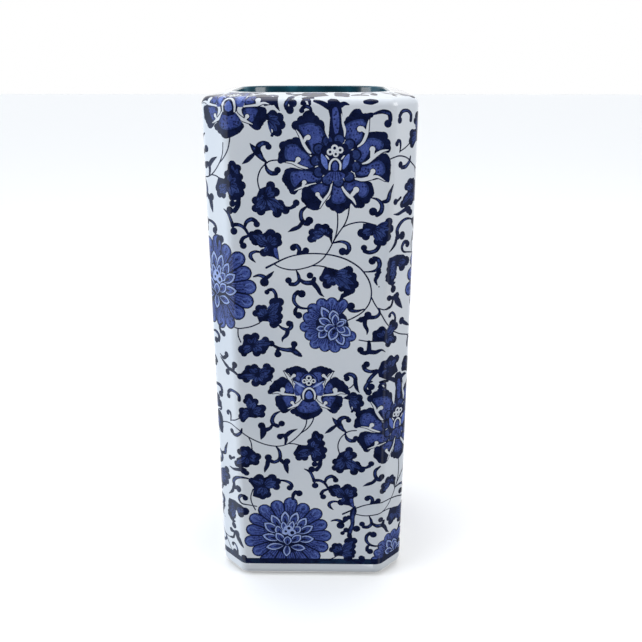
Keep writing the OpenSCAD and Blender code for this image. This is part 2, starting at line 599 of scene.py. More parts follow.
def swollen(outline, share):
    """The outline with every point moved away from the middle by a share of its distance."""
    mu = sum(p[0] for p in outline) / len(outline)
    mv = sum(p[1] for p in outline) / len(outline)
    return [(mu + (u - mu) * (1 + share), mv + (v - mv) * (1 + share)) for u, v in outline]


def lotus_petal(body, lobes, blade, hook=(), barb=(), dot=None):
    """A dark scalloped petal with a blue blade and a bare curled hook along one side."""
    shapes = area(NAVY, *body, smooth=3) + dots(NAVY, *lobes)
    for (u0, v0, r0), (u1, v1, r1) in zip(lobes, lobes[1:]):
        if hypot(u1 - u0, v1 - v0) > 0.95 * (r0 + r1):
            shapes += dots(NAVY, ((u0 + u1) / 2, (v0 + v1) / 2, 0.5 * (r0 + r1)))
    shapes += area(DUSK, *swollen(blade, 0.16), smooth=3) + area(COBALT, *swollen(blade, -0.04), smooth=3)
    if hook:
        shapes += stroke(NAVY, *hook, grow=0.45)
    if barb:
        shapes += stroke(NAVY, *barb, grow=0.4)
    if dot:
        shapes += dots(NAVY, (dot[0], dot[1], dot[2] + 0.45))
    if hook:
        shapes += stroke(BARE, *hook)
    if barb:
        shapes += stroke(BARE, *barb)
    if dot:
        shapes += dots(BARE, dot)
    return shapes


def big_lotus():
    """The nine-petalled lotus with the bud column above it."""
    s = []
    # Bud column and its side leaves, above the flower
    s += area(NAVY, (9.5, 296.5), (11.5, 298), (14.5, 297.6), (16.2, 295.5), (17.2, 290), (17.2, 284),
              (18.5, 279), (17, 274), (10, 274), (10.2, 280), (10.8, 288), (9.8, 292))
    s += stroke(NAVY, (2.8, 296.4, 1.6), (6.5, 295.3, 2.6), (10.5, 293, 3))
    s += stroke(NAVY, (16, 294, 3), (18.3, 295, 2.2), (20.8, 294.3, 0.5))
    s += area(COBALT, (12, 292), (14.2, 293), (15.5, 289), (15.4, 282), (14, 279), (12.6, 283), smooth=3)
    petals = [
        ([(-9, 283), (-6, 286.5), (0, 291), (5, 286.5), (8, 284), (9, 277), (7, 270), (0, 269), (-4, 279)],
         [(-6.8, 284, 2.5), (-0.2, 288.2, 3.5), (5.2, 284.3, 2.8)],
         [(-4.6, 282.5), (-2, 284), (1, 284.5), (5, 283), (7.3, 279), (6, 273), (2, 271), (0.3, 275)],
         [(-6.8, 281.8, 0.3), (-4.9, 279, 1.1), (-3.2, 275, 1.5), (-1.2, 271.6, 1.7), (0.6, 270, 0.9)],
         [(-3, 275.6, 1.3), (-1.6, 277.8, 1.8)], (-0.6, 278, 1.35)),
        ([(-16, 265), (-16.5, 268), (-15, 272), (-14, 275.5), (-9, 277.3), (-5, 276.5), (-3, 273), (0, 269),
          (3, 265), (2, 261), (-4, 262), (-8, 264.5), (-12, 265)],
         [(-13.5, 273.6, 2.5), (-7, 275.6, 2.7), (-14, 269, 2.5), (-15.2, 266, 1.7)],
         [(-11.5, 272.5), (-7, 273.6), (-3.6, 270.5), (0, 267.5), (1.5, 264), (-3, 263), (-7.5, 266),
          (-11.5, 267)],
         [(-12.4, 265.3, 0.3), (-9, 264.9, 0.9), (-5, 263.1, 1.3), (-1, 261.9, 0.7)],
         [(-7.4, 264.4, 1.2), (-6.3, 266, 1.8)], (-5.9, 266.6, 1.35)),
        ([(-14.5, 257), (-13, 260), (-10, 262.5), (-4, 261.5), (3, 262), (7, 258), (5, 253.5), (-2, 254),
          (-5, 251.5), (-8, 248), (-11, 250), (-11.5, 254)],
         [(-11, 259.5, 2.6), (-12.3, 256.3, 2.5), (-10, 252.4, 2.2), (-9, 250, 1.9)],
         [(-8.5, 259.6), (-3, 260.2), (2, 259.3), (5, 256.6), (1, 255), (-4, 255.8), (-7.2, 252.8),
          (-9, 256)],
         [(-8.2, 250.2, 0.3), (-5, 251.6, 0.9), (-1, 252.8, 1.3), (3.2, 254, 0.7)],
         [(-3.6, 252.4, 1.2), (-3, 254, 1.7)], (-2.8, 254.6, 1.2)),
        ([(-4, 250), (0, 253), (4, 254), (10, 254.5), (11, 251), (8, 246), (6, 241), (2, 239.5), (-2, 242),
          (-4, 246)],
         [(-1.8, 250, 2.4), (-2.2, 245.8, 2.5), (0.2, 242.6, 2.3), (3.6, 241.7, 2.2)],
         [(1.6, 251.6), (5.5, 253.4), (9.3, 253), (8, 249.5), (5.6, 248), (3, 249.2)],
         [(12, 254.5, 0.6), (10.6, 249.2, 1.1), (7.6, 245, 1.3), (5.4, 240.8, 0.3)],
         [(7.2, 244.6, 1.2), (5, 247, 1.6)], (4.3, 248.2, 1.2)),
        ([(12.5, 254.5), (16, 256), (17.5, 251), (20.5, 247), (22.5, 244), (20, 240.5), (16, 237.8),
          (12, 240.5), (8.5, 243), (11, 247)],
         [(10.6, 243.3, 2.3), (13, 241.6, 2.4), (16, 240.6, 2.8), (19.2, 242.2, 2.3), (21, 244, 1.6)],
         [(13.4, 253), (16, 254), (17.2, 249.5), (19, 245.6), (16, 243.8), (12.4, 244.8), (12.6, 249)]),
        ([(18, 255.5), (24, 256), (30, 255.3), (33, 254), (34.5, 250), (33, 246), (30, 245), (29, 241.5),
          (25, 241), (22, 244), (20, 248), (17.5, 251)],
         [(31.2, 252.8, 2.5), (32, 249, 2.7), (30.2, 245.6, 2.5), (27.6, 243, 2.3), (25.2, 242.5, 1.7)],
         [(19.4, 253.8), (24, 254.8), (29.6, 253.6), (31, 250.5), (29.4, 247.6), (26.6, 247.5), (25, 251.2),
          (21, 250.3)],
         [(16.3, 255.4, 0.5), (17.8, 251.5, 1.1), (20.5, 248, 1.7), (23.4, 245.4, 1.5), (24.9, 242.6, 0.3)],
         [(22, 247, 1.7), (24.4, 250, 2.3)], (24.9, 250.7, 1.6)),
        ([(24, 260), (26, 264), (31, 264.5), (36, 268), (40, 270), (43, 266), (43, 258), (42, 254.5),
          (38, 256.5), (32, 255.5), (26, 256)],
         [(39, 267.4, 2.6), (41, 263.6, 2.4), (41, 259.6, 2.4), (40.8, 256.7, 1.8)],
         [(25.6, 262), (31, 263.3), (36, 265.6), (39, 263), (38.6, 259.4), (35.6, 259), (33.4, 262.4),
          (31, 259), (26.4, 259)],
         [(24.6, 256.6, 1.0), (28, 256.1, 1.7), (32, 256.9, 2.1), (36, 257.7, 1.3), (40.2, 255.4, 0.3)],
         [(32, 257.4, 2), (33.4, 260, 2)], (33.6, 260.5, 1.35)),
        ([(25, 272), (28, 276), (30, 280), (34, 281), (39, 280.5), (41, 277), (43, 273), (42, 270.5),
          (38, 270), (34, 268), (30, 265), (27, 263.5), (24, 267)],
         [(32, 278.6, 2.3), (35, 278.7, 2.5), (38.6, 278.4, 2.6), (40.3, 275, 2.5), (41, 271.9, 1.9)],
         [(26, 272.4), (31, 276.8), (36, 276.2), (38, 273.6), (35.4, 271.4), (33, 274.6), (31, 270),
          (28.4, 266.4), (25.6, 268)],
         [(27.8, 264.4, 0.5), (31, 265.5, 1.5), (34.5, 268.6, 1.9), (38, 270.9, 1.4), (41.6, 271.7, 0.3)],
         [(33, 267.8, 2), (33.2, 271.4, 2.2)], (33.1, 272, 1.5)),
        ([(17.5, 285), (20, 288), (22, 291), (26, 292.5), (28, 290), (33, 290.5), (31, 286), (30, 281),
          (28.5, 277), (25, 272), (20, 274), (18, 280)],
         [(24.5, 289.6, 2.9), (20.8, 286.6, 2.2), (29, 287.8, 2.5), (32, 289.2, 1.3)],
         [(19.6, 284), (23.4, 286), (27.6, 286.4), (29, 283.6), (26.4, 284.4), (27.4, 279), (24, 275),
          (20.5, 277), (19.2, 281)],
         [(25.2, 273.2, 0.6), (28, 275.5, 1.4), (29.8, 279.5, 1.6), (30.5, 284, 1.2), (31, 287, 0.3)],
         [(29.6, 280.6, 1.6), (27.4, 282.6, 2.2)], (26.4, 282.3, 1.5)),
    ]
    for petal in petals:
        s += lotus_petal(*petal)
    # Inner ring of small blue petals, then the scalloped dark heart
    for i in range(11):
        a = radians(16 + 360 / 11 * i)
        s += dots(NAVY, (14 + 11 * cos(a), 266 + 11.4 * sin(a), 3.1))
    for i in range(11):
        a = radians(16 + 360 / 11 * i)
        s += dots(DUSK, (14 + 10.6 * cos(a), 266 + 11 * sin(a), 2.45))
    for i in range(13):
        a = radians(360 / 13 * i)
        s += dots(NAVY, (14 + 7.4 * cos(a), 266 + 7.9 * sin(a), 2.5))
    s += dots(NAVY, (14, 266, 8.2))
    # Bare slits beside the column
    s += stroke(BARE, (9.7, 290, 0.3), (9.2, 285.5, 1.3), (8.9, 281.5, 1.5), (10, 277.6, 0.3))
    s += stroke(BARE, (16.7, 290, 0.3), (17.5, 285, 1.1), (18.5, 281.6, 1.3), (18.4, 278.3, 0.3))
    # Blue fan below, crescents, arch and seeds
    s += area(COBALT, (9, 258.2), (11, 260), (16.5, 260), (19, 258.4), (17, 256), (13.8, 255.2), (10.6, 256),
              smooth=3)
    for u in (10.6, 12.2, 13.8, 15.4, 17):
        s += stroke(NAVY, (13.8 + (u - 13.8) * 0.7, 260, 0.35), (u, 255.8, 0.3), steps=1)
    for m in (-1, 1):
        at = lambda x, y: (13.6 + m * x, y)
        s += area(LIGHT, at(7.4, 269.6), at(7.2, 265), at(4.6, 261.5), at(3.9, 262.6), at(4.4, 266.4),
                  at(5.4, 268),
                  smooth=3)
        s += stroke(BARE, (*at(3.2, 266.6), 0.3), (*at(3.9, 267.5), 0.8), (*at(5, 268.8), 0.4))
    s += stroke(BARE, (10.6, 261.4, 0.8), (10.8, 264.2, 1), (12, 266.2, 1), (13.6, 266.9, 1),
                (15.2, 266.2, 1), (16.4, 264.2, 1), (16.3, 261.4, 0.8))
    s += area(COBALT, (12.2, 261.5), (12.2, 264), (13.6, 265.6), (15, 264), (15, 261.5), (13.6, 260.6),
              smooth=3)
    seeds = [(10.9, 270.5, 1.75), (13.3, 272.5, 1.9), (16.2, 271.5, 1.75), (13.9, 269.4, 1.6)]
    s += dots(BARE, *seeds)
    s += dots(NAVY, *[(u, v, 0.45 * r) for u, v, r in seeds])
    return s


def small_lotus():
    """The mirrored lotus lower down."""
    s = []
    half = [
        ([(0, 144.2), (3, 146.7), (7, 148.4), (11, 146.7), (15.4, 145), (12, 143.6), (9.8, 140), (8, 137),
          (3, 137), (0, 140)],
         [(3.4, 145, 2.2), (7.5, 146, 2.4), (12, 145.3, 1.7)], [(3, 143.5), (6.5, 144), (7.6, 141),
                                                                (6, 138.6), (3.4, 139.6)],
         [(14.2, 144.6, 0.3), (12.2, 141.6, 1.3), (10.7, 138.4, 1.6), (9.6, 135.6, 0.4)],
         [(11, 140, 1.2), (9.2, 141.8, 1.4)], (8.6, 142.2, 1.1)),
        ([(24.2, 130.3), (21.5, 137), (16.5, 140.6), (12.5, 140), (9.6, 136), (8.6, 130.6), (13, 129.3),
          (19, 130.8)],
         [(15.4, 139, 2.5), (18.8, 137, 2.3), (21.2, 134.4, 2.1), (22.8, 131.6, 1.6)],
         [(12, 137.4), (9.8, 134.4), (9.6, 131.2), (13, 131.4), (14, 134)],
         [(21.4, 130.6, 0.3), (18.4, 131.3, 1.1), (14, 129.9, 1.5), (8.4, 129.5, 0.9)],
         [(15.6, 130.8, 2), (15.6, 132.4, 2.4)], (15.4, 133, 1.45)),
        ([(19.4, 129), (11, 129.3), (7, 128), (9.6, 121.6), (14, 117.6), (17, 119.5), (19.6, 124)],
         [(17, 126.6, 2.6), (17.6, 123.5, 2.3), (15, 119.8, 2.3)],
         [(15, 128), (10, 128.4), (8.6, 125.4), (12, 122.2), (14, 125)],
         [(12.6, 120.6, 0.3), (9.6, 122, 1.2), (6.6, 123.6, 1.7), (4.3, 126, 1.2), (3.6, 129, 0.9)],
         [(8.6, 122.6, 1.2), (9.6, 124.2, 1.4)], (9.9, 124.6, 1.1)),
    ]
    c = -1.0
    for body, lobes, blade, hook, barb, dot in half:
        for m in (-1, 1):
            f = lambda pts: [(c + m * p[0], *p[1:]) for p in pts]
            s += lotus_petal(f(body), f(lobes), f(blade), f(hook), f(barb), f([dot])[0])
    s += lotus_petal(
        [(-12.5, 119), (-8, 122), (-5, 124.5), (-3, 128), (1, 128), (3, 124), (7, 120.5), (5, 116.5),
         (0, 114),
         (-4, 113.3), (-8, 116)],
        [(-10.2, 118.8, 1.9), (-7.6, 117.5, 2.1), (-4.2, 116, 2.5), (0, 116.4, 2.4), (3.6, 118, 2.1),
         (5.6, 119.6, 1.6)],
        [(-7.2, 120.8), (-3.4, 126.6), (1.4, 126.6), (5, 121.5), (1.4, 119), (-3.4, 118.4)])
    # Heart: seeds in a blue collar, an arched bud and two crescents
    s += dots(NAVY, (-1, 138.4, 5.6), (-1, 130, 5.4))
    s += area(COBALT, (-9.4, 136.4), (-5, 137.6), (-4.2, 133.4), (-5.6, 129.6), (-9.2, 129.8), smooth=3)
    s += area(COBALT, (7.4, 136.4), (3, 137.6), (2.2, 133.4), (3.6, 129.6), (7.2, 129.8), smooth=3)
    for m in (-1, 1):
        s += area(LIGHT, (c + m * 4.6, 135.8), (c + m * 7.4, 134.8), (c + m * 6.4, 131.4),
                  (c + m * 4.6, 131), smooth=3)
        s += stroke(PALE, (c + m * 2.4, 134.6, 0.4), (c + m * 5.4, 136.4, 1.3), (c + m * 8.6, 138.6, 0.4))
    ring = [(c + 4.7 * cos(radians(a)), 138.8 + 4.5 * sin(radians(a))) for a in range(0, 360, 30)]
    s += area(COBALT, *ring) + dots(NAVY, (-1, 138.8, 3.9))
    seeds = [(-1, 140.6, 1.75), (-3.6, 138.6, 1.4), (-1, 137.3, 1.7), (1.7, 138.7, 1.4)]
    s += dots(BARE, *seeds) + dots(NAVY, *[(u, v, 0.5 * r) for u, v, r in seeds])
    s += stroke(BARE, (-4.3, 127, 0.8), (-4.3, 130.4, 1.1), (-3, 133, 1.1), (-0.9, 134.1, 1.1),
                (1.2, 133, 1.1), (2.5, 130.4, 1.1), (2.4, 127, 0.8))
    s += area(LIGHT, (-2.8, 128), (-2.6, 130.6), (-0.9, 132.4), (0.8, 130.6), (1, 128), (-0.9, 127),
              smooth=3)
    return s


def big_daisy():
    """The large many-petalled flower above the foot."""
    s = daisy(-15, 31.2, 27.6, -64, 276, 17, 4.5, 17)
    outer = [((-16.3, 37), (-16.4, 49.2), 5.6), ((-13, 37), (-8.8, 48.4), 5.8),
             ((-9, 35), (-3.2, 44.4), 5.6),
             ((-19.5, 36), (-25, 46.4), 5.4), ((-21, 33), (-29.6, 40.4), 6.4), ((-8, 32.5), (1, 38.4), 5.4),
             ((-20, 28), (-31, 31.2), 5.6), ((-9, 28), (1.6, 28.8), 5.6), ((-18, 23.5), (-29, 22), 5.2),
             ((-13, 22.6), (-3.8, 21.4), 5), ((-15.4, 24), (-16, 15.2), 4.8)]
    inner = [((-19, 31), (-21.8, 38.4), 5.2), ((-16.5, 34), (-18, 41.5), 4), ((-11.5, 33), (-7, 37.8), 5.4),
             ((-13.5, 34), (-11.6, 42), 4), ((-17.4, 26), (-22.4, 33), 5.2), ((-12.6, 26), (-6.6, 31.4),
                                                                              5.6),
             ((-15.4, 24), (-15, 30.6), 5.4)]
    for petal in outer:
        s += pointed_petal(*petal)
    s += dots(NAVY, (-15, 30.5, 7.5))
    for petal in inner[:4]:
        s += pointed_petal(*petal)
    s += dots(PALE, (-14.6, 35.6, 3.1), (-12.4, 33.2, 2.8), (-16.4, 33.8, 2.2))
    s += dots(NAVY, (-14.2, 36.6, 1.1), (-12.1, 33.2, 1.35), (-16.2, 34.2, 0.9))
    for petal in inner[4:]:
        s += pointed_petal(*petal)
    return s


def small_daisy():
    """The smaller one at the end of the upper sweep."""
    s = daisy(11.5, 173.6, 17.2, 62, 330, 12, 3.5, 10.5)
    for petal in [((12.5, 174), (6.3, 184.6), 5.4), ((14, 175), (12.8, 182.8), 5.8),
                  ((12, 174), (4.8, 177.4), 4.8),
                  ((9.5, 171), (4.8, 165.8), 5), ((15, 170), (18.8, 161.4), 5.4), ((16, 173), (23, 167.4),
                                                                                   6),
                  ((15, 174), (20.6, 176.6), 4.2), ((9, 171.6), (3.4, 171.4), 3.6)]:
        s += pointed_petal(*petal)
    for petal in [((14.6, 172.6), (7.6, 171), 5.4), ((14.6, 172.6), (11.6, 164.2), 6),
                  ((14.2, 173), (14.4, 180.4), 4.6),
                  ((15, 172.6), (20, 169.6), 4.6), ((14.8, 173.2), (19.6, 175.8), 3.4)]:
        s += pointed_petal(*petal)
    s += dots(NAVY, (14.4, 173.2, 0.9))
    return s


STEM_W = 0.75


def line(*points):
    """A thin even stem."""
    return stroke(NAVY, *[(u, v, STEM_W) for u, v in points])


def stems():
    """The two long sweeps and the stems that branch off them."""
    s = []
    s += stroke(NAVY, (-24.2, 207.4, 1.3), (-20, 209.6, 1.1), (-15, 212.2, 0.9), (-10, 214.1, 0.8),
                (-4, 215.3, 0.8),
                (2, 215.6, 0.8), (8, 215.3, 0.8), (14, 214.3, 0.9), (20, 212.3, 0.9), (26, 208.8,
                                                                                       0.9), (30, 204.8,
                                                                                              0.9),
                (33, 199.8, 0.9), (34.3, 194.5, 0.8), (34.2, 190, 0.8), (32.8, 185.8, 0.8), (29.6, 181.6,
                                                                                             0.8),
                (25, 178.4, 0.8), (20, 176, 0.8))
    s += line((-20, 209.6), (-16, 207.4), (-10, 206.2), (-4, 207), (2, 209), (7, 212.5), (10.5, 217.5),
              (13, 222.5),
              (16, 227.5), (19, 232), (20.8, 237), (21.5, 243))
    s += line((12.2, 221), (14, 225), (15, 230), (15.2, 235), (14.8, 241))
    s += line((18, 230.4), (22, 232.2), (27, 233.2), (31, 232.8), (36, 231.5))
    s += line((1, 208.6), (5, 208.6), (9, 207.8))
    s += line((34.4, 190.5), (36.4, 186.5), (38.4, 183.4), (41, 179), (43.5, 175), (47, 171), (51, 167.8),
              (56, 165.3),
              (62, 163.3), (66, 160))
    s += line((38.4, 184), (42, 183), (45, 184.5))
    s += line((-16.6, 266.3), (-20, 266), (-22.6, 264.8), (-25.8, 261.5), (-27.4, 257.5), (-27.5, 254),
              (-26.5, 250))
    s += line((-29, 174.7), (-33, 172.8), (-37, 171.8), (-41.3, 171.4), (-45, 172.5))
    s += line((-41.3, 171.4), (-41.4, 167), (-40, 163))
    s += line((28, 164.6), (33, 163.8), (37, 164))
    s += line((21, 134), (23.4, 134.6), (25.6, 137))
    # The lower sweep
    s += line((-66, 101), (-60, 105.6), (-55, 107.6), (-50, 108), (-44, 106.3), (-38, 101.7), (-31, 97.8),
              (-25, 95.8),
              (-19, 95.4), (-14, 97), (-9.5, 100.5), (-5.5, 105), (-3, 109.5), (-2.2, 115))
    s += line((-6.4, 104), (-2, 107.5), (1, 112), (2.5, 118))
    s += line((-37.6, 101.4), (-36.3, 98), (-35.8, 94), (-35.5, 90))
    s += line((-13.6, 97.2), (-10, 97), (-6, 96), (-2, 95.8))
    s += line((-36, 65), (-37.5, 60), (-37.2, 55.5), (-35, 50))
    return s


def upper_motifs():
    """The upper row's leaves and curls."""
    s = []
    # Heart-shaped leaf and the curls beside the bud
    s += leaf([(-25.2, 287.6), (-21, 290.6), (-16, 289), (-13.5, 284), (-15.5, 280), (-20.4, 278.4),
               (-19, 281),
               (-19.3, 284), (-21.5, 286.6)],
              [(-18.8, 289.4, 2.5), (-15.6, 288, 2.5), (-14.7, 284.4, 2.5), (-16.6, 280.8, 2.5),
               (-19.4, 279, 0.9)],
              (-22, 287.4))
    s += curl((-8, 298.6, 1.0), (-10.6, 297.4, 1.8), (-11.9, 294.6, 2.4), (-11.6, 292.6, 2.2),
              head=(-9.9, 291.7, 2.1))
    s += curl((1.2, 291, 1.2), (0.4, 292.8, 1.8), (-1.6, 293.6, 2), (-3.6, 292.6, 1.8),
              head=(-3.8, 291.5, 1.4))
    # Forked leaf with a spindle bud
    s += curl((-31.2, 275, 0.3), (-29.4, 272.6, 2.6), (-27, 270, 4), (-25, 267.2, 2.4), (-22.4, 264.8, 0.8),
              head=(-27.4, 271, 1.8))
    s += curl((-27, 270.6, 3), (-26.6, 273.6, 3), (-24.2, 275, 2.6), (-21.8, 274.6, 2.2),
              head=(-21.4, 273.2, 1.7))
    s += stroke(NAVY, (-35.6, 264.2, 0.3), (-33.2, 265.9, 2.2), (-31, 267.8, 2.4), (-28.2, 270.2, 1.2))
    s += curl((-23.4, 264.6, 0.8), (-22.4, 261.2, 2), (-20.2, 259.4, 2.6), (-17.6, 259.4, 2.4),
              head=(-16.9, 261, 1.8))
    # Tall leaf by the corner, and the broad leaf right of it
    s += leaf([(-43.5, 264), (-40, 266), (-37, 262), (-36.5, 257), (-35, 252), (-38, 248.5), (-43, 249.5),
               (-44.5, 254)],
              [(-41, 264, 2.1), (-38.2, 262, 2.1), (-37.4, 257.4, 2.2), (-36.4, 252.8, 2.5),
               (-42.4, 251.2, 2),
               (-44.4, 258.6, 2)], (-40.5, 253))
    s += curl((-38, 249, 2), (-37.9, 245.6, 2), (-39.6, 242.9, 2.2), head=(-41.7, 243.1, 1.9))
    s += leaf([(-26.8, 251), (-22, 253), (-18, 250), (-18.5, 246), (-13.5, 243), (-11.6, 239.6), (-18, 237),
               (-20.6, 239.6), (-25.5, 238.6), (-30, 241), (-29, 246)],
              [(-20.8, 252.8, 2.5), (-18.4, 249.4, 2.6), (-16, 243, 2.4), (-13, 239.6, 2.3),
               (-17.6, 238, 2.6),
               (-26.3, 239.2, 2.6), (-29.2, 240.6, 2.2), (-28.8, 244.8, 2.4), (-26.4, 247.6,
                                                                               1.8)], (-23.6, 246.4))
    s += curl((-13, 240.6, 2.6), (-10.4, 240.8, 1.8), (-8.2, 242, 2.4), head=(-7.2, 243.6, 1.9))
    # Curl with a blade, under the lotus
    s += curl((-1.6, 241.6, 1.2), (-4.4, 239, 2.2), (-4.6, 235.4, 2.4), (-3, 232.8, 2.8), (-1, 232.4, 3),
              head=(-0.2, 234, 2.2))
    s += stroke(NAVY, (-3.6, 233.6, 2.2), (-5.8, 230.6, 2.2), (-8.8, 229.2, 2.2), (-12, 227.6, 0.3))
    # Branch left of the broad hanging leaf
    s += curl((-48, 239.6, 0.7), (-44.6, 237.6, 1.8), (-42.8, 233.6, 2), (-42, 231, 2.4),
              head=(-41.5, 228, 2.1))
    s += curl((-42, 231.6, 2.2), (-38.4, 231.5, 2), (-35.5, 229.6, 1.8), (-33.4, 226, 1.4),
              head=(-41.9, 231.4, 1))
    s += curl((-35.6, 229.6, 1.3), (-34.4, 233, 2.2), (-31.6, 234.6, 2.5), (-29.2, 233.4, 2.3),
              head=(-28.8, 231.9, 1.8))
    s += leaf([(-33.6, 226), (-30, 228.6), (-26.5, 226), (-22, 229), (-17, 226), (-15.4, 222),
               (-17.8, 218.6),
               (-17.2, 215), (-16.8, 211.4), (-20.5, 213.6), (-26, 214.6), (-25, 219), (-28, 220), (-33,
                                                                                                    223)],
              [(-31.4, 226, 2.2), (-28.4, 226.4, 2.8), (-29.6, 222.6, 2.7), (-26.4, 220.8, 2.1),
               (-21.4, 226.4, 3),
               (-18, 224.8, 2.7), (-17.3, 221.8, 2.3), (-25.3, 216, 2.4)], (-22.5, 220.5))
    s += stroke(COBALT, (-19, 217.8, 2), (-18.4, 214.6, 1.8), (-17.4, 212.6, 0.4))
    s += curl((-33, 225.6, 1.4), (-36.4, 224.2, 2.1), (-37.7, 221.8, 2.4), head=(-36.5, 219.9, 1.9))
    s += curl((-27, 216.2, 1.2), (-30, 216.6, 1.6), (-32.6, 215.2, 2.2), (-32.4, 212.8, 2),
              (-30, 210.4, 0.4),
              head=(-32.8, 213.8, 1.2))
    # Small pair on the sweep
    s += curl((-6.6, 215.2, 1.6), (-5.8, 217.8, 2.4), (-7.2, 219.8, 2.6), (-9, 219.8, 2.4),
              head=(-9.2, 218.8, 1.8))
    s += stroke(NAVY, (-5.8, 215.4, 1.4), (-4, 216.2, 2.4)) + dots(NAVY, (-2.2, 217.2, 1.9))
    # Curl and arched leaf right of the flower stems
    s += curl((13, 221.6, 0.9), (17, 222.4, 1.6), (20.6, 221.2, 2.3), (21.6, 218.4, 2.6), (20.2, 216, 2.6),
              head=(18, 216.8, 2.2))
    s += leaf([(-0.8, 223), (0, 227), (4, 231.6), (9, 232), (12.4, 228.6), (12.4, 224), (12, 220.6),
               (10.6, 224.4),
               (7.6, 226), (4.6, 225), (3.2, 222)],
              [(0.8, 223.9, 2.3), (1.4, 227.4, 2.2), (4.8, 230, 2.5), (8.6, 230, 2.4),
               (10.8, 228, 2.0)], (8.8, 226.2))
    # Hanging lobed leaf at the right edge
    s += leaf([(29, 232.4), (33, 232.6), (37, 231.2), (42, 234.6), (45, 231), (44, 224), (39, 220.4),
               (36, 222.6),
               (36.4, 226), (33, 225.6), (28, 225.6)],
              [(28.3, 227.2, 2.5), (30.6, 225.3, 2.3), (43.2, 233.3, 2.4), (44.2, 229.4, 2.4),
               (42.2, 225, 2.7),
               (40, 222.4, 2.4), (37.2, 222.6, 2.4)], (34.5, 229.5))
    s += curl((38.4, 221, 2.2), (36.4, 217.5, 2.4), (32.8, 216.3, 2.4), (30, 217, 2.2),
              head=(29.7, 218.9, 1.8))
    # Long leaf with a pointed tip
    s += leaf([(8.2, 208), (12, 207.4), (16, 206.2), (21, 208.6), (25.6, 203), (26.6, 197), (23, 192),
               (18, 189.6),
               (18.8, 194), (17.6, 198), (15, 199.6), (8, 198), (6, 203)],
              [(7.2, 201.4, 2.2), (9.6, 198, 2.8), (13, 199, 2), (21.4, 206, 2.7), (23.8, 202.6, 2.4),
               (24.8, 198, 2.6), (23, 194.6, 2.4), (17.7, 195.7, 2.2)], (12.5, 203.5))
    s += stroke(NAVY, (18.4, 191.6, 2.4), (17.2, 189, 1.6), (15.9, 187.2, 0.3))
    # Fork beside it
    s += curl((-31.4, 202.2, 0.9), (-28.4, 203, 1.8), (-25.6, 202, 2.6), (-24.9, 199.6, 3.2),
              head=(-25.5, 199, 2.6))
    s += stroke(NAVY, (-25, 201, 2.4), (-22.4, 203, 2.2), (-20, 205.4, 0.4))
    # Double curl under the sweep
    s += curl((-7.6, 206, 0.7), (-6.4, 203, 1.8), (-6.2, 200, 2.2), (-8.4, 197.9, 2.4), (-11, 198, 2.4),
              head=(-12, 200.1, 1.9))
    s += curl((-6, 201, 1.6), (-3, 198.9, 2.6), (1.2, 199, 3), (2.4, 201.2, 2.4), head=(0, 203, 1.9))
    s += stroke(NAVY, (1.6, 198.8, 3), (4.2, 195.6, 2.6), (5.8, 192.4, 1.8), (8, 190.6, 0.3))
    # Long double curl left of the small daisy
    s += curl((1, 184, 0.8), (-3, 183.6, 1.3), (-6.6, 184.6, 1.8), (-9, 187.6, 2.2), (-8.8, 191.2, 2.4),
              (-6.8, 193.4, 2.4),
              head=(-4.7, 192.3, 2.3))
    s += curl((-7, 184.8, 1.4), (-8.4, 182.6, 2.2), (-8.3, 180.4, 2.6), head=(-6.5, 179.5, 2.1))
    # Tall double leaf left of it
    s += curl((-19.2, 188, 2.4), (-19.3, 192, 2), (-21, 194.6, 2), (-23.4, 194.4, 1.8),
              head=(-24.2, 193.2, 1.5))
    s += leaf([(-30.6, 180), (-29, 184.6), (-26, 184.6), (-24, 182), (-22.4, 186), (-18, 190), (-16, 186),
               (-16.6, 178), (-18, 173), (-21, 171.6), (-23.6, 175.6), (-27, 175.8), (-29, 174.6)],
              [(-28.8, 183.4, 2.4), (-26.2, 183.8, 2), (-30.8, 180.6, 2.1), (-20.4, 187, 2.9),
               (-17.2, 187.4, 2.6),
               (-17.8, 183.4, 2.4), (-17.6, 178.8, 2.3), (-17.9, 176, 1.9), (-20.7, 174.2, 2.7)], (-25,
                                                                                                   178.6))
    s += curl((-18.6, 174.2, 0.8), (-16.2, 171.8, 1.6), (-13, 170.8, 2.2), (-10.8, 172.4, 2.4),
              (-10.8, 174.8, 2.2),
              head=(-12, 174.5, 1.9))
    s += stroke(NAVY, (-12.8, 170.6, 2.6), (-13.6, 167.6, 2.5), (-15.8, 165.3, 1.6), (-16.1, 163, 0.3))
    # Low leaf with a forked tail
    s += leaf([(-38, 166.5), (-33, 168), (-29.6, 164), (-26, 166), (-22, 163), (-25, 158), (-28, 155.6),
               (-34, 157),
               (-38, 154.6), (-41.4, 157), (-39, 162)],
              [(-36, 165.4, 2.8), (-31.6, 166.4, 2.6), (-25.8, 164.4, 2.2), (-22.4, 162.2, 1.9),
               (-39.2, 158.4, 2.8),
               (-38.4, 155.8, 1.9), (-31, 156.4, 2.5), (-27.6, 157.6, 2.2)], (-33, 161))
    s += curl((-22, 161.6, 1.5), (-18, 159.2, 2), (-14, 158.3, 2.5), (-10.6, 158.2, 3.2), (-7.8, 156.4, 3.4),
              (-5.4, 154.6, 1.6), head=(-6.4, 155.4, 1.4))
    s += curl((-18.2, 159.4, 1.8), (-19, 157.4, 2.6), head=(-18.8, 155.6, 2.1))
    s += stroke(NAVY, (-10, 158.6, 2.6), (-9.4, 161, 2.4)) + dots(NAVY, (-9.3, 161.9, 2.0))
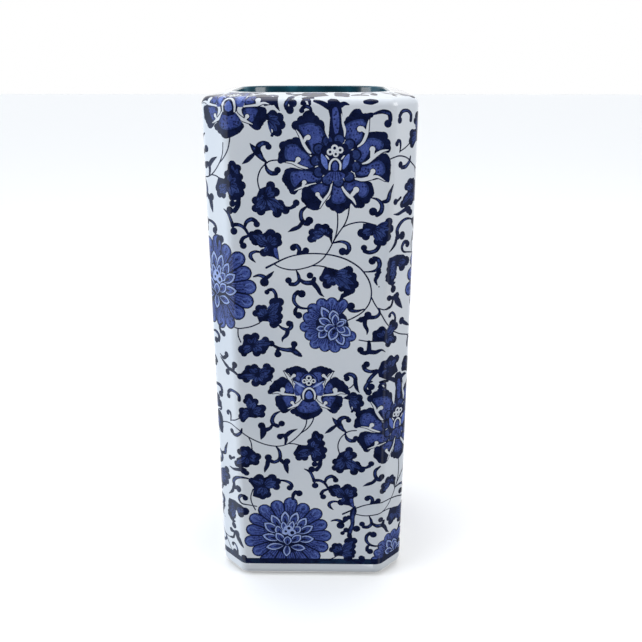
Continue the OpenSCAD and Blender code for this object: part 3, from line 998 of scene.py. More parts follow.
    # Leaf over the small lotus
    s += leaf([(-41, 143), (-37, 147.6), (-32, 148.6), (-28, 146), (-25, 149), (-21.6, 145), (-23, 139),
               (-28, 136.4),
               (-33, 136), (-34.4, 140), (-37, 138), (-41.6, 140)],
              [(-36, 146.4, 2.4), (-32.6, 147.1, 2.4), (-25.4, 147.5, 2.5), (-22.9, 145.5, 2.2),
               (-24.2, 141.6, 2.5),
               (-37.6, 139.6, 2.4), (-41.3, 141.4, 2), (-32.3, 137.3, 2.6), (-28, 138, 2.5)], (-31, 142.4))
    s += stroke(NAVY, (-24.6, 140.4, 1.6), (-22.6, 138, 0.4))
    s += curl((-42.6, 142.2, 1.4), (-45.6, 144, 2), (-48.4, 144.6, 2.4), head=(-51.4, 142, 2))
    s += stroke(NAVY, (-46, 144.6, 2.2), (-45.4, 147.4, 2.4)) + dots(NAVY, (-44.8, 148.3, 2.1))
    s += stroke(NAVY, (-49.6, 144.4, 2.4), (-53.4, 146.6, 2.2), (-58, 150, 0.4))
    # Right half, below the long sweep
    s += curl((30.4, 183.4, 0.7), (26.6, 182.2, 1.8), (23.2, 182.6, 2.4), (21.8, 184.6, 2.4),
              head=(23.1, 185.1, 2.3))
    s += stroke(NAVY, (26.4, 176.6, 1), (29, 177, 3), (31.4, 178, 3)) + dots(NAVY, (32.7, 179.9, 2.1),
                                                                             (29, 177, 1.8))
    s += stroke(NAVY, (31, 177, 2.8), (31.2, 173.6, 2.4), (32.6, 170.6, 1.8), (32.3, 167.8, 0.3))
    s += curl((39, 183.6, 0.9), (39.2, 180.6, 1.7), (37, 178.6, 2.2), (33.6, 178.4, 2.6),
              head=(32.4, 178.4, 1.6))
    s += leaf([(35.4, 163.4), (35.6, 169), (41, 173.4), (44, 171), (47, 175), (52, 172), (49.6, 167.6),
               (51.6, 163),
               (46, 160.6), (42, 163.6)],
              [(37.6, 168.4, 2.3), (41, 170.8, 2.4), (48, 173.8, 2.5), (51, 171.4, 2.5), (50.2, 163.4, 2.4),
               (45.4, 162, 2.3)], (43.5, 166.6))
    s += curl((50.4, 173.6, 2.2), (50.4, 177.6, 1.7), (48, 180.4, 1.6), (45.8, 180, 1.5),
              head=(45.8, 179, 1.3))
    s += stroke(NAVY, (33.7, 163.6, 2), (33.8, 160.4, 2.6), (33.8, 157.6, 3))
    s += curl((34.4, 157.6, 2.8), (31.6, 156.6, 2.8), (29.4, 157, 2.4), head=(28.9, 158.5, 2))
    s += stroke(NAVY, (34, 157.4, 3), (37.6, 157.1, 2.6), (41, 158.6, 1.4), (43.6, 157, 0.3))
    s += curl((38.6, 145.6, 2), (35, 144.9, 2.2), (32, 146, 2.6), (31, 148.4, 2.8), head=(32.6, 149.5, 2))
    s += curl((39, 145, 2), (36, 142, 2.4), (33.9, 138.6, 2.5), (33.8, 136, 2.6), head=(35.6, 135.2, 2.2))
    s += leaf([(39, 145.4), (40.4, 149), (44, 152), (48, 153.4), (54, 151.4), (53, 147), (55, 142),
               (46, 139),
               (40, 141.6)],
              [(43, 149.4, 2.5), (41.5, 143.6, 2), (47.6, 151.4, 2.9), (53, 150.4, 2.7),
               (46, 141.8, 2)], (46.5, 146))
    s += curl((25.6, 137, 1.2), (26.5, 139.6, 2.2), (25.2, 142.2, 2.8), (22.6, 143.2, 2.6), (20.4, 142, 2.4),
              head=(21.2, 140.4, 1.8))
    s += stroke(NAVY, (26.2, 140, 2.4), (26.4, 137, 2.6), (27.2, 134, 2), (28.8, 131.2, 0.3))
    s += curl((40.3, 135, 1.8), (41.6, 137.2, 2), (43.8, 137, 2), (44.4, 134.6, 1.4),
              head=(41.4, 134.9, 1.3))
    # Right edge, beside and below the lotus
    s += curl((33.4, 246.4, 0.7), (36.6, 245.4, 1.6), (38.9, 242.6, 2.3), (38.5, 239, 2.6),
              (36.4, 237.2, 2.6),
              head=(34.2, 239, 2.3))
    s += curl((39.4, 244.2, 1.8), (42.2, 245.2, 2.6), (43.2, 249, 2.2), (45.4, 253.6, 0.6),
              head=(41.4, 244.7, 1.1))
    s += curl((33.4, 289.8, 1.2), (37.8, 291, 2.2), (41.4, 290, 2.6), (42.2, 286.8, 2.4),
              head=(40.9, 285, 2.1))
    s += curl((29.8, 205.3, 0.7), (33, 205.3, 1), (36.6, 206.2, 1.8), (38.5, 208.8, 2.6), (37.8, 212, 2.8),
              (35.4, 213, 2.6), head=(34.4, 211.4, 2.1))
    s += stroke(NAVY, (38.2, 206.4, 2.6), (37.6, 203.2, 2.3), (36.4, 200.4, 2), (37.6, 197.4, 0.6))
    s += stroke(NAVY, (37, 203.6, 2.4), (39.2, 205, 1.2))
    s += dots(NAVY, (38.5, 196.6, 0.45))
    # Scraps above the bud, and on the shoulder
    s += stroke(NAVY, (-3.4, 298.2, 1.2), (-0.6, 298.6, 2), (2.2, 298.4, 1.4))
    s += stroke(NAVY, (29, 295.8, 2.2), (32, 296, 3.4), (35, 296.2, 2))
    s += stroke(NAVY, (0.2, 302, 1.8), (3.4, 303, 2.8), (7, 302.4, 2))
    s += stroke(NAVY, (24, 303, 2), (28, 304, 3), (32.4, 303.2, 2.2))
    return s


def corner_motifs():
    """What lies on the cut corner right of the front face."""
    s = []
    s += line((49.6, 270.4), (54, 272), (58, 274.4), (62, 276.4))
    s += curl((49.4, 270, 0.8), (50, 273, 1.4), (49.4, 275.6, 1.9), (47.6, 276, 1.9), head=(47, 274.6, 1.5))
    s += curl((58.6, 267, 1), (57.6, 264.2, 2), (54.8, 262, 2.4), (51.6, 261.8, 2.2),
              head=(50.4, 263.4, 1.8))
    s += curl((57.6, 286, 2.4), (57.4, 289, 2.2), (54.6, 291, 1.8), (50.6, 290.8, 2.2), (48.4, 288.6, 2.4),
              head=(48.6, 286.4, 1.8))
    s += curl((51.6, 245.6, 1.6), (49.6, 244.4, 1.6), (48, 243.8, 2), head=(47.4, 243.8, 1.8))
    s += stroke(NAVY, (46, 237.2, 0.4), (50, 236.8, 1.8), (54, 238, 2.2), (57.4, 238.8, 3))
    s += dots(NAVY, (58.6, 238, 2.2), (60.4, 236.4, 1.8))
    s += curl((66, 229, 0.8), (62.6, 232, 0.9), (57.4, 233.2, 1.6), (52.6, 231.6, 2.4), (49.6, 228, 3),
              (50.6, 223.8, 3),
              head=(54, 224.2, 2.5))
    s += stroke(NAVY, (49.4, 224.6, 2.2), (48.2, 220.4, 2.4), (43.8, 216.2, 0.3))
    s += curl((66, 212.6, 0.7), (60, 213.8, 0.8), (56, 214.6, 1.3), (54.2, 217.4, 2.2), (56, 220, 2.4),
              (58.6, 219.9, 2.2),
              head=(59, 218.5, 1.9))
    s += leaf([(44, 213), (50, 214), (56, 213), (60, 210), (57, 205), (53, 204), (51.6, 207), (49.4, 207),
               (50, 200.6),
               (45, 197.6), (42, 200), (43, 206), (43, 210)],
              [(45.4, 210, 2.5), (44.4, 206.6, 2), (44.6, 202.4, 2.7), (46, 199.6, 2.6), (55, 206.4, 2.9),
               (58.4, 208.8, 2.9), (50.4, 211.8, 2.2), (48, 203, 2.6)], (50.6, 209.4))
    s += curl((49, 198, 1.4), (47, 196.8, 1.8), head=(48, 194.4, 2.3))
    s += dots(NAVY, (51.2, 189.8, 2.2), (45, 189.6, 1.8)) + stroke(NAVY, (45, 189.6, 2), (50.6, 189, 2.6))
    s += stroke(NAVY, (49.4, 190, 2.6), (52.4, 186, 4.4), (56.6, 181, 0.6))
    s += curl((43, 183, 0.8), (46.6, 184.6, 1.8), (48, 188, 1.8), head=(45, 189.6, 1.7))
    s += curl((64, 168.8, 1), (61, 170.4, 2), (58.4, 172, 2.6), head=(56.4, 173.4, 2.3))
    s += stroke(NAVY, (63.4, 163, 1.6), (62.6, 159, 1.8), (62.6, 156, 1.2))
    return s


def lower_motifs():
    """The lower row's leaves and curls."""
    s = []
    s += leaf([(-38.6, 129), (-34.4, 128.6), (-32.6, 123.4), (-29, 122.6), (-27.4, 116), (-33, 114.2),
               (-37, 114.8),
               (-40.4, 111.2), (-43.4, 115.4), (-41.6, 120.4), (-37.6, 121.4), (-39, 126)],
              [(-36.6, 127.8, 2.6), (-33, 125, 2.3), (-38.2, 125.4, 2), (-28.9, 120.8, 2.6),
               (-29.4, 116.8, 2.4),
               (-40.8, 119, 2.4), (-41.4, 115.2, 2.2), (-40.6, 113, 1.7)], (-35.6, 118.6))
    s += leaf([(-43.6, 93.6), (-38, 95.4), (-35, 92.4), (-31, 88), (-33, 83), (-38, 82), (-43, 79.6),
               (-48, 80),
               (-46.4, 85.6), (-43, 88)],
              [(-41, 92.8, 2.6), (-43.6, 91, 2.2), (-32.8, 88, 2.6), (-34, 84.4, 2.6), (-43.6, 83.8, 2.9),
               (-46.8, 81.8, 2.2), (-39.6, 82.4, 2.2)], (-38.2, 88.4))
    # Big curl with a trefoil
    s += curl((-18.2, 118.8, 0.9), (-21.4, 116.8, 2), (-23.1, 113.2, 2.6), (-22.4, 110.4, 2.6),
              (-19.8, 109, 2.6),
              head=(-17.4, 110.7, 2))
    s += curl((-22.8, 110.4, 1.4), (-24.4, 107.6, 2.2), (-27, 106.4, 3), head=(-29.5, 109.2, 2.3))
    s += stroke(NAVY, (-28.8, 108.6, 3.4), (-28.6, 105, 4), (-29.2, 102.4, 3), (-30.2, 99.8, 0.5))
    s += stroke(NAVY, (-15.6, 96.8, 1.2), (-14.9, 100, 2.2), (-16, 102.6, 2.6), (-18.6, 102.6, 2.4))
    s += dots(NAVY, (-18.6, 101.9, 2.0)) + stroke(NAVY, (-15.4, 102, 2.8), (-12.4, 105, 2.6),
                                                  (-7.9, 107.2, 0.3))
    s += leaf([(-7.6, 96.6), (-3.2, 95.6), (0, 99), (3, 101), (6.6, 97.6), (8.4, 89), (5, 85), (1, 85),
               (-0.4, 89.4),
               (-3.4, 87), (-9, 87), (-10.4, 91)],
              [(-8.3, 90.4, 2.4), (-7.2, 87.8, 2.5), (-3.8, 87.6, 2.3), (1.8, 99.3, 2.6), (5, 97, 2.3),
               (5.8, 93, 2.2),
               (6.7, 88.9, 2.6), (2.6, 87, 2.4)], (0.6, 93.4))
    s += curl((5.6, 86, 2.6), (5.6, 82.4, 2.4), (3.4, 79.2, 2.8), head=(0.5, 79.4, 2.2))
    # Fork hanging from the sweep
    s += curl((-21, 95, 0.9), (-19.2, 92, 2), (-18.7, 88.4, 2.4), (-19.6, 85.8, 2.4), (-22.4, 84.3, 2.4),
              (-25, 85.4, 2.6),
              head=(-26, 87.5, 2.3))
    s += stroke(NAVY, (-26, 86, 3), (-26.8, 82, 2.8), (-27.9, 79.4, 2.2), (-28.6, 77, 0.4))
    s += stroke(NAVY, (-19, 86.4, 2.4), (-16.8, 84.2, 2.8), (-15.4, 83.6, 3)) + dots(NAVY,
                                                                                     (-14.6, 84.9, 2.1))
    s += stroke(NAVY, (-15.6, 83.6, 3.4), (-14.9, 79.6, 2.8), (-14.1, 76.3, 0.5))
    # Leaf over the big daisy
    s += leaf([(-38.4, 70.6), (-34, 75), (-28.4, 73.4), (-24, 75.6), (-19.4, 71), (-20.4, 65.4),
               (-25.4, 66.4),
               (-25.4, 61), (-29.6, 58), (-33.4, 58.8), (-36.4, 60), (-35.6, 66)],
              [(-36.6, 71.2, 2.1), (-31.8, 73, 3), (-24, 73, 3), (-20.9, 70.6, 2.5), (-21.5, 66.8, 2.4),
               (-27.4, 61.4, 2.7), (-30.2, 59.9, 2.4), (-33.6, 61.4, 2.4)], (-29.6, 67.4))
    s += curl((-19.4, 71.6, 1.2), (-15.6, 71, 1.7), (-12.7, 69.4, 2.2), (-11.9, 67.2, 2.5),
              head=(-13.2, 66.2, 2))
    s += curl((-11.4, 58, 1.8), (-11.1, 61.2, 2.4), (-9.6, 63.2, 2.6), head=(-7.4, 62.3, 2.2))
    return s


def low_leaf():
    """The wavy leaf right of the lowest big daisy."""
    s = []
    s += stroke(NAVY, (27.4, 53, 1), (26.6, 50, 4), (25.8, 45, 3.2), (26, 40, 2.6), (24.8, 36, 3.2),
                (23.8, 31, 2.6))
    s += dots(NAVY, (21.6, 44, 2), (23.6, 45, 1.6), (28.6, 36.6, 2.4), (22, 35.6, 1.8))
    s += stroke(DUSK, (26.8, 51, 0.6), (26, 46, 1.6), (25.8, 40, 1.2), (24.6, 34, 1.4))
    return s


def fill_motifs():
    """Invented leaves and curls for the strip that the photo hides."""
    s = []
    s += leaf([(68, 168), (72, 171.4), (77, 170), (79, 165), (76, 160.4), (70, 160), (67, 163.4)],
              [(70.6, 168.8, 2.4), (75, 169.4, 2.6), (77, 165.4, 2.5), (74.6, 161.8, 2.4),
               (69.8, 161.8, 2.3)], (71.6, 165))
    s += curl((70, 160.4, 1.2), (67.4, 157, 1.8), (68.4, 153.6, 2.4), head=(71, 153.6, 2))
    s += curl((79, 164.6, 1), (83, 165.4, 1.8), (86, 163, 2.4), (85.4, 160, 2.4), head=(83, 159.8, 2))
    s += leaf([(60, 150), (65, 148.6), (67, 144), (64, 139.6), (59, 141), (58, 146)],
              [(61.4, 148, 2.3), (65, 146, 2.4), (64, 141.6, 2.3), (60, 142.6, 2.2)], (61.6, 145))
    s += curl((74, 146, 0.8), (77, 148.6, 1.8), (80.6, 148.6, 2.4), (82.4, 146, 2.4), head=(80.6, 144.4, 2))
    s += stroke(NAVY, (86, 152, 0.4), (89, 150, 2.2), (91.6, 151.4, 2.4)) + dots(NAVY, (92.4, 153, 2))
    s += curl((90, 172, 1), (87, 169.6, 1.8), (88, 166, 2.4), head=(90.4, 165.6, 2))
    return s


# The usual step to a group's next copy, one so long that the copies miss the vase, and the lap that
# the whole print repeats in
STEP = (44.0, -160.0)
ONCE = (0.0, -600.0)
LAP = ROUND / 3


def motifs():
    """Each group of shapes with the step to its next copy, down and to the right."""
    return [(stems(), STEP), (big_daisy(), (42.7, -165.0)), (small_daisy(), STEP),
            (big_lotus(), (42.5, -156.5)), (small_lotus(), (41.0, -164.0)), (upper_motifs(), STEP),
            (corner_motifs(), STEP), (lower_motifs(), STEP), (fill_motifs(), STEP),
            (low_leaf(), ONCE)]

# ---- The vase ----

def print_shapes(u0, u1, v0, v1):
    """Every shape of the print that shows between these edges, in painting order."""
    shapes = []
    for group, step in motifs():
        for row in range(-1, 2):
            for lap in range(-3, 4):
                du, dv = row * step[0] + lap * LAP, row * step[1]
                for ink, outline in group:
                    us = [p[0] + du for p in outline]
                    vs = [p[1] + dv for p in outline]
                    if max(us) > u0 and min(us) < u1 and max(vs) > v0 and min(vs) < v1:
                        shapes.append((ink, list(zip(us, vs))))
    return shapes


SIDES = ["front", "right", "back", "left"]
CORNERS = ["front_right", "back_right", "back_left", "front_left"]


def printed_sides(inks):
    """One printed sheet a side, each with the cut corner to its right."""
    for i, side in enumerate(SIDES):
        u0 = i * QUARTER - SEAM
        if i > 2:
            u0 -= ROUND
        u1 = u0 + QUARTER
        shapes = print_shapes(u0, u1, BAND_TOP, WALL_TOP)
        piece = sheet("transfer_" + side, u0, u1, BAND_TOP, WALL_TOP, shapes, [], inks, BARE, SKIN_T)
        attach(piece, "root")
        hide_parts("print_" + side)


def printed_shoulder(inks):
    """The printed sheet over the shoulder."""
    shapes = print_shapes(-ROUND / 2, ROUND / 2, WALL_TOP, PRINT_TOP)
    piece = sheet("transfer_shoulder", -ROUND / 2, ROUND / 2, WALL_TOP, PRINT_TOP, shapes, SHOULDER_BENDS,
                  inks, BARE, SKIN_T)
    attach(piece, "root")
    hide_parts("print_shoulder")


def band(inks):
    """The painted line round the top of the foot, with the print's dark leaves over it."""
    shapes = []
    for ink, outline in print_shapes(-ROUND / 2, ROUND / 2, FOOT_H, BAND_TOP):
        if ink == NAVY:
            shapes.append((ink, outline))
    piece = sheet("painted_line", -ROUND / 2, ROUND / 2, FOOT_H, BAND_TOP, shapes, [], inks, LINE, SKIN_T)
    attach(piece, "root")
    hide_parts("painted_band")


def foot(material):
    """The ring of strips that the vase stands on, with its rounded underside."""
    section = [(0.0, FOOT_H, 0.0), (0.0, FOOT_R, 0.0)]
    steps = 8
    for i in range(1, steps + 1):
        a = pi / 2 * i / steps
        section.append((FOOT_R * (1 - cos(a)), FOOT_R * (1 - sin(a)), -a))
    bevel = 0.6
    section += [(FOOT_T - bevel, 0.0, -pi / 2), (FOOT_T - bevel, 0.0, -3 * pi / 4),
                (FOOT_T, bevel, -3 * pi / 4), (FOOT_T, bevel, -pi), (FOOT_T, FOOT_H, -pi),
                (FOOT_T, FOOT_H, pi / 2), (0.0, FOOT_H, pi / 2)]
    section.reverse()
    for i in range(4):
        straight = (i * QUARTER - SEAM, i * QUARTER + SEAM)
        bent = (i * QUARTER + SEAM, (i + 1) * QUARTER - SEAM)
        for name, (u0, u1) in (("foot_" + SIDES[i], straight), ("foot_corner_" + CORNERS[i], bent)):
            rings = []
            for inset, z, tilt in section:
                ring = []
                for u in round_samples(u0, u1):
                    x, y, a = plan(u, inset)
                    ring.append((Vector((x, y, z)) * MM,
                                 Vector((cos(a) * cos(tilt), sin(a) * cos(tilt), sin(tilt)))))
                rings.append(ring)
            piece = sweep(name + "_ring", rings, [material], closed=False)
            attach(piece, "root")
            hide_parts(name)


def lip_point(u, angle, radius):
    """A point on the rounded lip. Angle is 80 degrees where the shoulder runs into it, 180 in the throat."""
    centre_in = RIM_W + LINING_T - LIP_R
    centre_z = BODY_H + (RIM_W - centre_in) * -SHOULDER_SLOPE - LIP_R / sin(SHOULDER_TURN)
    inset = centre_in - radius * cos(radians(angle))
    x, y, a = mouth(u, inset - RIM_W)
    z = centre_z + radius * sin(radians(angle))
    tilt = radians(angle)
    return (Vector((x, y, z)) * MM, Vector((cos(a) * cos(tilt), sin(a) * cos(tilt), sin(tilt))))


# Where on the lip the dark glaze starts, how far the throat under it leans back, and its height
GLAZE_LINE = 112
THROAT_LEAN = 7
LIP_TO_FLARE = 5.5


def shoulder(material):
    """The sloping top slab, with the lip that the print stops short of."""
    us = round_samples(-QUARTER / 2, ROUND - QUARTER / 2)[:-1]
    rings = []
    for v in [WALL_TOP] + SHOULDER_BENDS + [PRINT_TOP]:
        rings.append([outside(u, v, SKIN_T) for u in us])
    rings.append([outside(u, PRINT_TOP) for u in us])
    for angle in range(80, GLAZE_LINE + 1, 8):
        rings.append([lip_point(u, angle, LIP_R) for u in us])
    for angle in (GLAZE_LINE, 150, 180):
        rings.append([lip_point(u, angle, LIP_R - LINING_T) for u in us])
    low = []
    for u in us:
        x, y, a = mouth(u, 0)
        low.append((Vector((x, y, WALL_TOP)) * MM, None))
    rings.append(low)
    piece = sweep("shoulder_body", rings, [material])
    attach(piece, "root")
    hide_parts("shoulder_slab")


def lining(material):
    """The dark glaze from the lip down over everything inside."""
    us = round_samples(-QUARTER / 2, ROUND - QUARTER / 2)[:-1]

    def section(t):
        """Rings from the lip to the floor, t thick clear of the clay."""
        rings = []
        for angle in (GLAZE_LINE, 120, 130, 140, 150, 160, 167, 180 - THROAT_LEAN):
            rings.append([lip_point(u, angle, LIP_R - LINING_T + t) for u in us])
        flare_top, flare_low, steps = 293.0, 283.0, 8
        drop = LIP_TO_FLARE * tan(radians(THROAT_LEAN)) if t else 0.0
        lean = radians(THROAT_LEAN)
        ring = []
        for u in us:
            x, y, a = mouth(u, t + drop)
            n = Vector((-cos(a) * cos(lean), -sin(a) * cos(lean), sin(lean)))
            ring.append((Vector((x, y, flare_top)) * MM, n))
        rings.append(ring)
        for i in range(steps + 1):
            f = i / steps
            blend = f * f * (3 - 2 * f)
            slope = 6 * f * (1 - f)
            ring = []
            for u in us:
                mx, my, ma = mouth(u, t + drop)
                px, py, pa = plan(u, WALL_T + t)
                z = flare_top + (flare_low - flare_top) * f
                run = hypot(px - mx, py - my)
                tilt = -atan2(slope * run, flare_top - flare_low)
                a = ma + (pa - ma) * blend
                n = Vector((-cos(a) * cos(tilt), -sin(a) * cos(tilt), sin(tilt)))
                ring.append((Vector((mx + (px - mx) * blend, my + (py - my) * blend, z)) * MM, n))
            rings.append(ring)
        cove = 9.0
        floor_z = FOOT_H + t
        for i in range(9):
            a = pi / 2 * i / 8
            inset = WALL_T + t + cove * (1 - cos(a))
            ring = []
            for u in us:
                x, y, face = plan(u, inset)
                n = Vector((-cos(face) * cos(a), -sin(face) * cos(a), sin(a)))
                ring.append((Vector((x, y, floor_z + cove * (1 - sin(a)))) * MM, n))
            rings.append(ring)
        rings.append([(Vector((0, 0, floor_z)) * MM, Vector((0, 0, 1)))])
        return rings

    inner = section(LINING_T)
    outer = [[(p, -n) for p, n in ring] for ring in section(0.0)]
    piece = sweep("dark_glaze", inner + outer[::-1], [material])
    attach(piece, "root")
    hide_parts("inner_glaze")


# ---- Materials ----

def shader(name, rough, coat_rough=0.03):
    """A new material with a clear glaze over it, and its nodes to build on."""
    material = bpy.data.materials.new(name)
    material.use_nodes = True
    nodes = material.node_tree.nodes
    bsdf = nodes["Principled BSDF"]
    bsdf.inputs["Roughness"].default_value = rough
    bsdf.inputs["IOR"].default_value = 1.5
    bsdf.inputs["Specular IOR Level"].default_value = 0.0
    bsdf.inputs["Coat Weight"].default_value = 1.0
    bsdf.inputs["Coat Roughness"].default_value = coat_rough
    bsdf.inputs["Coat IOR"].default_value = 1.5
    return material, nodes, material.node_tree.links, bsdf


def add(nodes, kind, **inputs):
    """A node with some of its sockets set, the underscore in a name standing for a space."""
    node = nodes.new(kind)
    for name, value in inputs.items():
        node.inputs[name.replace("_", " ")].default_value = value
    return node


def ramp(nodes, links, source, stops):
    """A colour ramp on a value."""
    node = nodes.new("ShaderNodeValToRGB")
    while len(node.color_ramp.elements) < len(stops):
        node.color_ramp.elements.new(0.5)
    for element, (at, colour) in zip(node.color_ramp.elements, stops):
        element.position = at
        element.color = (*colour, 1) if len(colour) == 3 else colour
    links.new(source, node.inputs["Fac"])
    return node.outputs["Color"]


def mixed(nodes, links, share, a, b):
    """Mixes two colours, each a socket or three numbers."""
    node = nodes.new("ShaderNodeMix")
    node.data_type = "RGBA"
    if isinstance(share, float):
        node.inputs[0].default_value = share
    else:
        links.new(share, node.inputs[0])
    for socket, value in ((node.inputs[6], a), (node.inputs[7], b)):
        if isinstance(value, tuple):
            socket.default_value = (*value, 1)
        else:
            links.new(value, socket)
    return node.outputs[2]


def glaze_ripple(nodes, links, bsdf, strength=0.05):
    """The slight unevenness of a fired glaze, on the base and on the clear coat."""
    where = nodes.new("ShaderNodeTexCoord")
    broad = add(nodes, "ShaderNodeTexNoise", Scale=45.0, Detail=1.0)
    fine = add(nodes, "ShaderNodeTexNoise", Scale=520.0, Detail=2.0)
    links.new(where.outputs["Object"], broad.inputs["Vector"])
    links.new(where.outputs["Object"], fine.inputs["Vector"])
    both = nodes.new("ShaderNodeMath")
    both.operation = "MULTIPLY_ADD"
    links.new(fine.outputs["Fac"], both.inputs[0])
    both.inputs[1].default_value = 0.06
    links.new(broad.outputs["Fac"], both.inputs[2])
    bump = add(nodes, "ShaderNodeBump", Strength=strength, Distance=0.004)
    links.new(both.outputs[0], bump.inputs["Height"])
    links.new(bump.outputs["Normal"], bsdf.inputs["Normal"])
    links.new(bump.outputs["Normal"], bsdf.inputs["Coat Normal"])
    return where


def porcelain(name, tint):
    """Bluish white porcelain with faint clouding and a few dark specks."""
    material, nodes, links, bsdf = shader(name, 0.22)
    where = glaze_ripple(nodes, links, bsdf)
    cloud = add(nodes, "ShaderNodeTexNoise", Scale=28.0, Detail=4.0)
    links.new(where.outputs["Object"], cloud.inputs["Vector"])
    paler = tuple(min(1.0, c * 1.04) for c in tint)
    deeper = tuple(c * s for c, s in zip(tint, (0.93, 0.955, 0.985)))
    base = ramp(nodes, links, cloud.outputs["Fac"], [(0.3, deeper), (0.7, paler)])
    cells = add(nodes, "ShaderNodeTexVoronoi", Scale=130.0)
    links.new(where.outputs["Object"], cells.inputs["Vector"])
    speck = ramp(nodes, links, cells.outputs["Distance"], [(0.0, (1, 1, 1)), (0.028, (0, 0, 0))])
    links.new(mixed(nodes, links, speck, base, (0.42, 0.42, 0.44)), bsdf.inputs["Base Color"])
    return material


def ink(name, deep, pale, dots=0.0, speckle=0.25):
    """Cobalt under the glaze: uneven where it pooled, finely mottled, and stippled if asked."""
    material, nodes, links, bsdf = shader(name, 0.3)
    where = glaze_ripple(nodes, links, bsdf)
    pool = add(nodes, "ShaderNodeTexNoise", Scale=190.0, Detail=3.0)
    links.new(where.outputs["Object"], pool.inputs["Vector"])
    colour = ramp(nodes, links, pool.outputs["Fac"], [(0.32, deep), (0.68, pale)])
    grain = add(nodes, "ShaderNodeTexNoise", Scale=1500.0, Detail=2.0)
    links.new(where.outputs["Object"], grain.inputs["Vector"])
    shade = ramp(nodes, links, grain.outputs["Fac"],
                 [(0.35, (1 - speckle,) * 3), (0.65, (1 + speckle,) * 3)])
    tone = nodes.new("ShaderNodeMix")
    tone.data_type = "RGBA"
    tone.blend_type = "MULTIPLY"
    tone.inputs[0].default_value = 1.0
    links.new(colour, tone.inputs[6])
    links.new(shade, tone.inputs[7])
    colour = tone.outputs[2]
    if dots:
        cells = add(nodes, "ShaderNodeTexVoronoi", Scale=620.0, Randomness=0.8)
        links.new(where.outputs["Object"], cells.inputs["Vector"])
        dot = ramp(nodes, links, cells.outputs["Distance"], [(0.26, (dots,) * 3), (0.42, (0, 0, 0))])
        colour = mixed(nodes, links, dot, colour, NAVY_DEEP)
    links.new(colour, bsdf.inputs["Base Color"])
    return material


NAVY_DEEP = (0.006, 0.009, 0.038)


def teal(name):
    """The dark blue-green glaze inside, thinner and bluer in patches."""
    material, nodes, links, bsdf = shader(name, 0.15, 0.14)
    where = glaze_ripple(nodes, links, bsdf, 0.12)
    flow = add(nodes, "ShaderNodeTexNoise", Scale=60.0, Detail=4.0)
    links.new(where.outputs["Object"], flow.inputs["Vector"])
    colour = ramp(nodes, links, flow.outputs["Fac"],
                  [(0.3, (0.004, 0.022, 0.034)), (0.55, (0.01, 0.07, 0.105)), (0.8, (0.03, 0.16, 0.22))])
    links.new(colour, bsdf.inputs["Base Color"])
    return material


def foot_clay(name, tint):
    """White glaze that stops just above the ring the vase stands on, where the clay is bare."""
    material, nodes, links, bsdf = shader(name, 0.25)
    where = glaze_ripple(nodes, links, bsdf)
    split = nodes.new("ShaderNodeSeparateXYZ")
    links.new(where.outputs["Object"], split.inputs[0])
    wander = add(nodes, "ShaderNodeTexNoise", Scale=90.0, Detail=2.0)
    links.new(where.outputs["Object"], wander.inputs["Vector"])
    level = nodes.new("ShaderNodeMath")
    level.operation = "MULTIPLY_ADD"
    links.new(wander.outputs["Fac"], level.inputs[0])
    level.inputs[1].default_value = -0.0009
    links.new(split.outputs["Z"], level.inputs[2])
    bare = ramp(nodes, links, level.outputs[0], [(0.0, (1, 1, 1)), (0.0004, (0, 0, 0))])
    cloud = add(nodes, "ShaderNodeTexNoise", Scale=40.0, Detail=4.0)
    links.new(where.outputs["Object"], cloud.inputs["Vector"])
    glazed = ramp(nodes, links, cloud.outputs["Fac"], [(0.3, tuple(c * 0.95 for c in tint)), (0.7, tint)])
    links.new(mixed(nodes, links, bare, glazed, (0.62, 0.58, 0.52)), bsdf.inputs["Base Color"])
    links.new(ramp(nodes, links, level.outputs[0], [(0.0, (0.85,) * 3), (0.0004, (0.22,) * 3)]),
              bsdf.inputs["Roughness"])
    return material


WHITE = (0.72, 0.75, 0.79)
white = porcelain("porcelain", WHITE)
foot_white = foot_clay("foot_white", WHITE)
INKS = [
    ink("navy", (0.003, 0.006, 0.028), (0.008, 0.014, 0.06)),
    ink("cobalt", (0.036, 0.058, 0.235), (0.07, 0.105, 0.35), dots=0.85),
    ink("light_blue", (0.09, 0.14, 0.46), (0.15, 0.22, 0.58)),
    ink("pale_blue", (0.27, 0.36, 0.70), (0.38, 0.47, 0.78), speckle=0.12),
    white,
    ink("line_blue", (0.005, 0.012, 0.04), (0.012, 0.035, 0.085)),
    ink("leaf_blue", (0.014, 0.025, 0.11), (0.045, 0.075, 0.24), dots=0.8),
    ink("petal_tip", (0.075, 0.12, 0.37), (0.115, 0.17, 0.46)),
]
dark_teal = teal("teal")

printed_sides(INKS)
printed_shoulder(INKS)
band(INKS)
foot(foot_white)
shoulder(white)
lining(dark_teal)
for name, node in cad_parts.items():
    node.data.materials.clear()
    node.data.materials.append(white)

# ---- Camera, light and floor ----

scene = bpy.context.scene
scene.view_settings.view_transform = "Standard"

# The photo's viewpoint, from fitting a camera to the vase's outline
camera_data = bpy.data.cameras.new("camera")
camera_data.sensor_width = 36
camera_data.lens = 41.49
camera = bpy.data.objects.new("camera", camera_data)
camera.location = (0.01155, -0.4538, 0.3191)
camera.rotation_euler = (radians(70.13), 0, radians(0.784))
scene.collection.objects.link(camera)
scene.camera = camera


def lamp(name, place, aim, size, power):
    """A soft rectangular lamp at place that shines on aim."""
    data = bpy.data.lights.new(name, "AREA")
    data.shape = "RECTANGLE"
    data.size, data.size_y = size
    data.energy = power
    light = bpy.data.objects.new(name, data)
    light.location = place
    light.rotation_euler = (Vector(aim) - Vector(place)).to_track_quat("-Z", "Y").to_euler()
    scene.collection.objects.link(light)


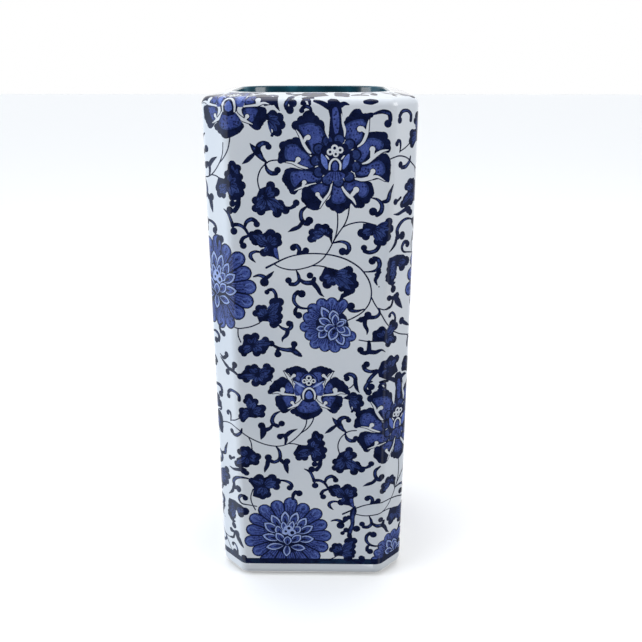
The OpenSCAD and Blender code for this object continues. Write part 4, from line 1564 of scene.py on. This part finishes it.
AIM = (0, 0, 0.15)
lamp("left", (-1.15, -0.5, 0.6), AIM, (0.9, 0.7), 9.0)
lamp("right", (1.15, -0.5, 0.6), AIM, (0.9, 0.7), 11.0)

sky_data = bpy.data.lights.new("ceiling", "SUN")
sky_data.energy = 1.2
sky_data.angle = radians(60)
sky = bpy.data.objects.new("ceiling", sky_data)
sky.rotation_euler = (radians(-4), 0, 0)
scene.collection.objects.link(sky)


def surroundings():
    """A white studio behind, a bluish wall to the left, and a dark room in front and to the right."""
    world = bpy.data.worlds.new("studio")
    world.use_nodes = True
    nodes, links = world.node_tree.nodes, world.node_tree.links
    where = nodes.new("ShaderNodeTexCoord")
    split = nodes.new("ShaderNodeSeparateXYZ")
    links.new(where.outputs["Generated"], split.inputs[0])
    back_to_front = nodes.new("ShaderNodeMath")
    back_to_front.operation = "MULTIPLY"
    back_to_front.inputs[1].default_value = -1.0
    links.new(split.outputs["Y"], back_to_front.inputs[0])
    heading = nodes.new("ShaderNodeMath")
    heading.operation = "ARCTAN2"
    links.new(split.outputs["X"], heading.inputs[0])
    links.new(back_to_front.outputs[0], heading.inputs[1])
    share = nodes.new("ShaderNodeMath")
    share.operation = "MULTIPLY_ADD"
    share.inputs[1].default_value = 0.5 / pi
    share.inputs[2].default_value = 0.5
    links.new(heading.outputs[0], share.inputs[0])
    # Round from the back by the left, which is at 0.25, the front, at 0.5, and the right, at 0.75.
    # Pale ground lies to either side of the dark front.
    bands = [(0.10, (1.0, 1.0, 1.0)), (0.20, (0.74, 0.86, 1.0)), (0.32, (0.80, 0.90, 1.0)),
             (0.37, (0.90, 0.95, 1.0)), (0.42, (0.03, 0.033, 0.045)),
             (0.58, (0.03, 0.033, 0.045)), (0.63, (0.7, 0.73, 0.75)),
             (0.68, (0.12, 0.14, 0.16)), (0.80, (0.2, 0.22, 0.25)), (0.90, (1.0, 1.0, 1.0))]
    colour = ramp(nodes, links, share.outputs[0], bands)
    back = nodes["Background"]
    back.inputs["Strength"].default_value = 1.05
    links.new(colour, back.inputs["Color"])
    # Plain white where the camera sees past the floor
    plain = add(nodes, "ShaderNodeBackground", Color=(1.0, 1.0, 1.0, 1), Strength=1.0)
    seen = nodes.new("ShaderNodeLightPath")
    either = nodes.new("ShaderNodeMixShader")
    links.new(seen.outputs["Is Camera Ray"], either.inputs[0])
    links.new(back.outputs[0], either.inputs[1])
    links.new(plain.outputs[0], either.inputs[2])
    links.new(either.outputs[0], nodes["World Output"].inputs["Surface"])
    scene.world = world


surroundings()


def plain_floor():
    """A wide pale floor."""
    reach, cells = 6.0, 12
    points = [(reach * (2 * i / cells - 1), reach * (2 * j / cells - 1), 0.0)
              for j in range(cells + 1) for i in range(cells + 1)]
    faces = [(j * (cells + 1) + i, j * (cells + 1) + i + 1, (j + 1) * (cells + 1) + i + 1,
              (j + 1) * (cells + 1) + i) for j in range(cells) for i in range(cells)]
    mesh = bpy.data.meshes.new("floor")
    mesh.from_pydata(points, [], faces)
    material = bpy.data.materials.new("floor_white")
    material.use_nodes = True
    bsdf = material.node_tree.nodes["Principled BSDF"]
    bsdf.inputs["Base Color"].default_value = (0.93, 0.93, 0.93, 1)
    bsdf.inputs["Roughness"].default_value = 0.7
    mesh.materials.append(material)
    floor_object = bpy.data.objects.new("floor", mesh)
    scene.collection.objects.link(floor_object)
    floor_object.visible_glossy = False
    floor_object.visible_diffuse = False


plain_floor()
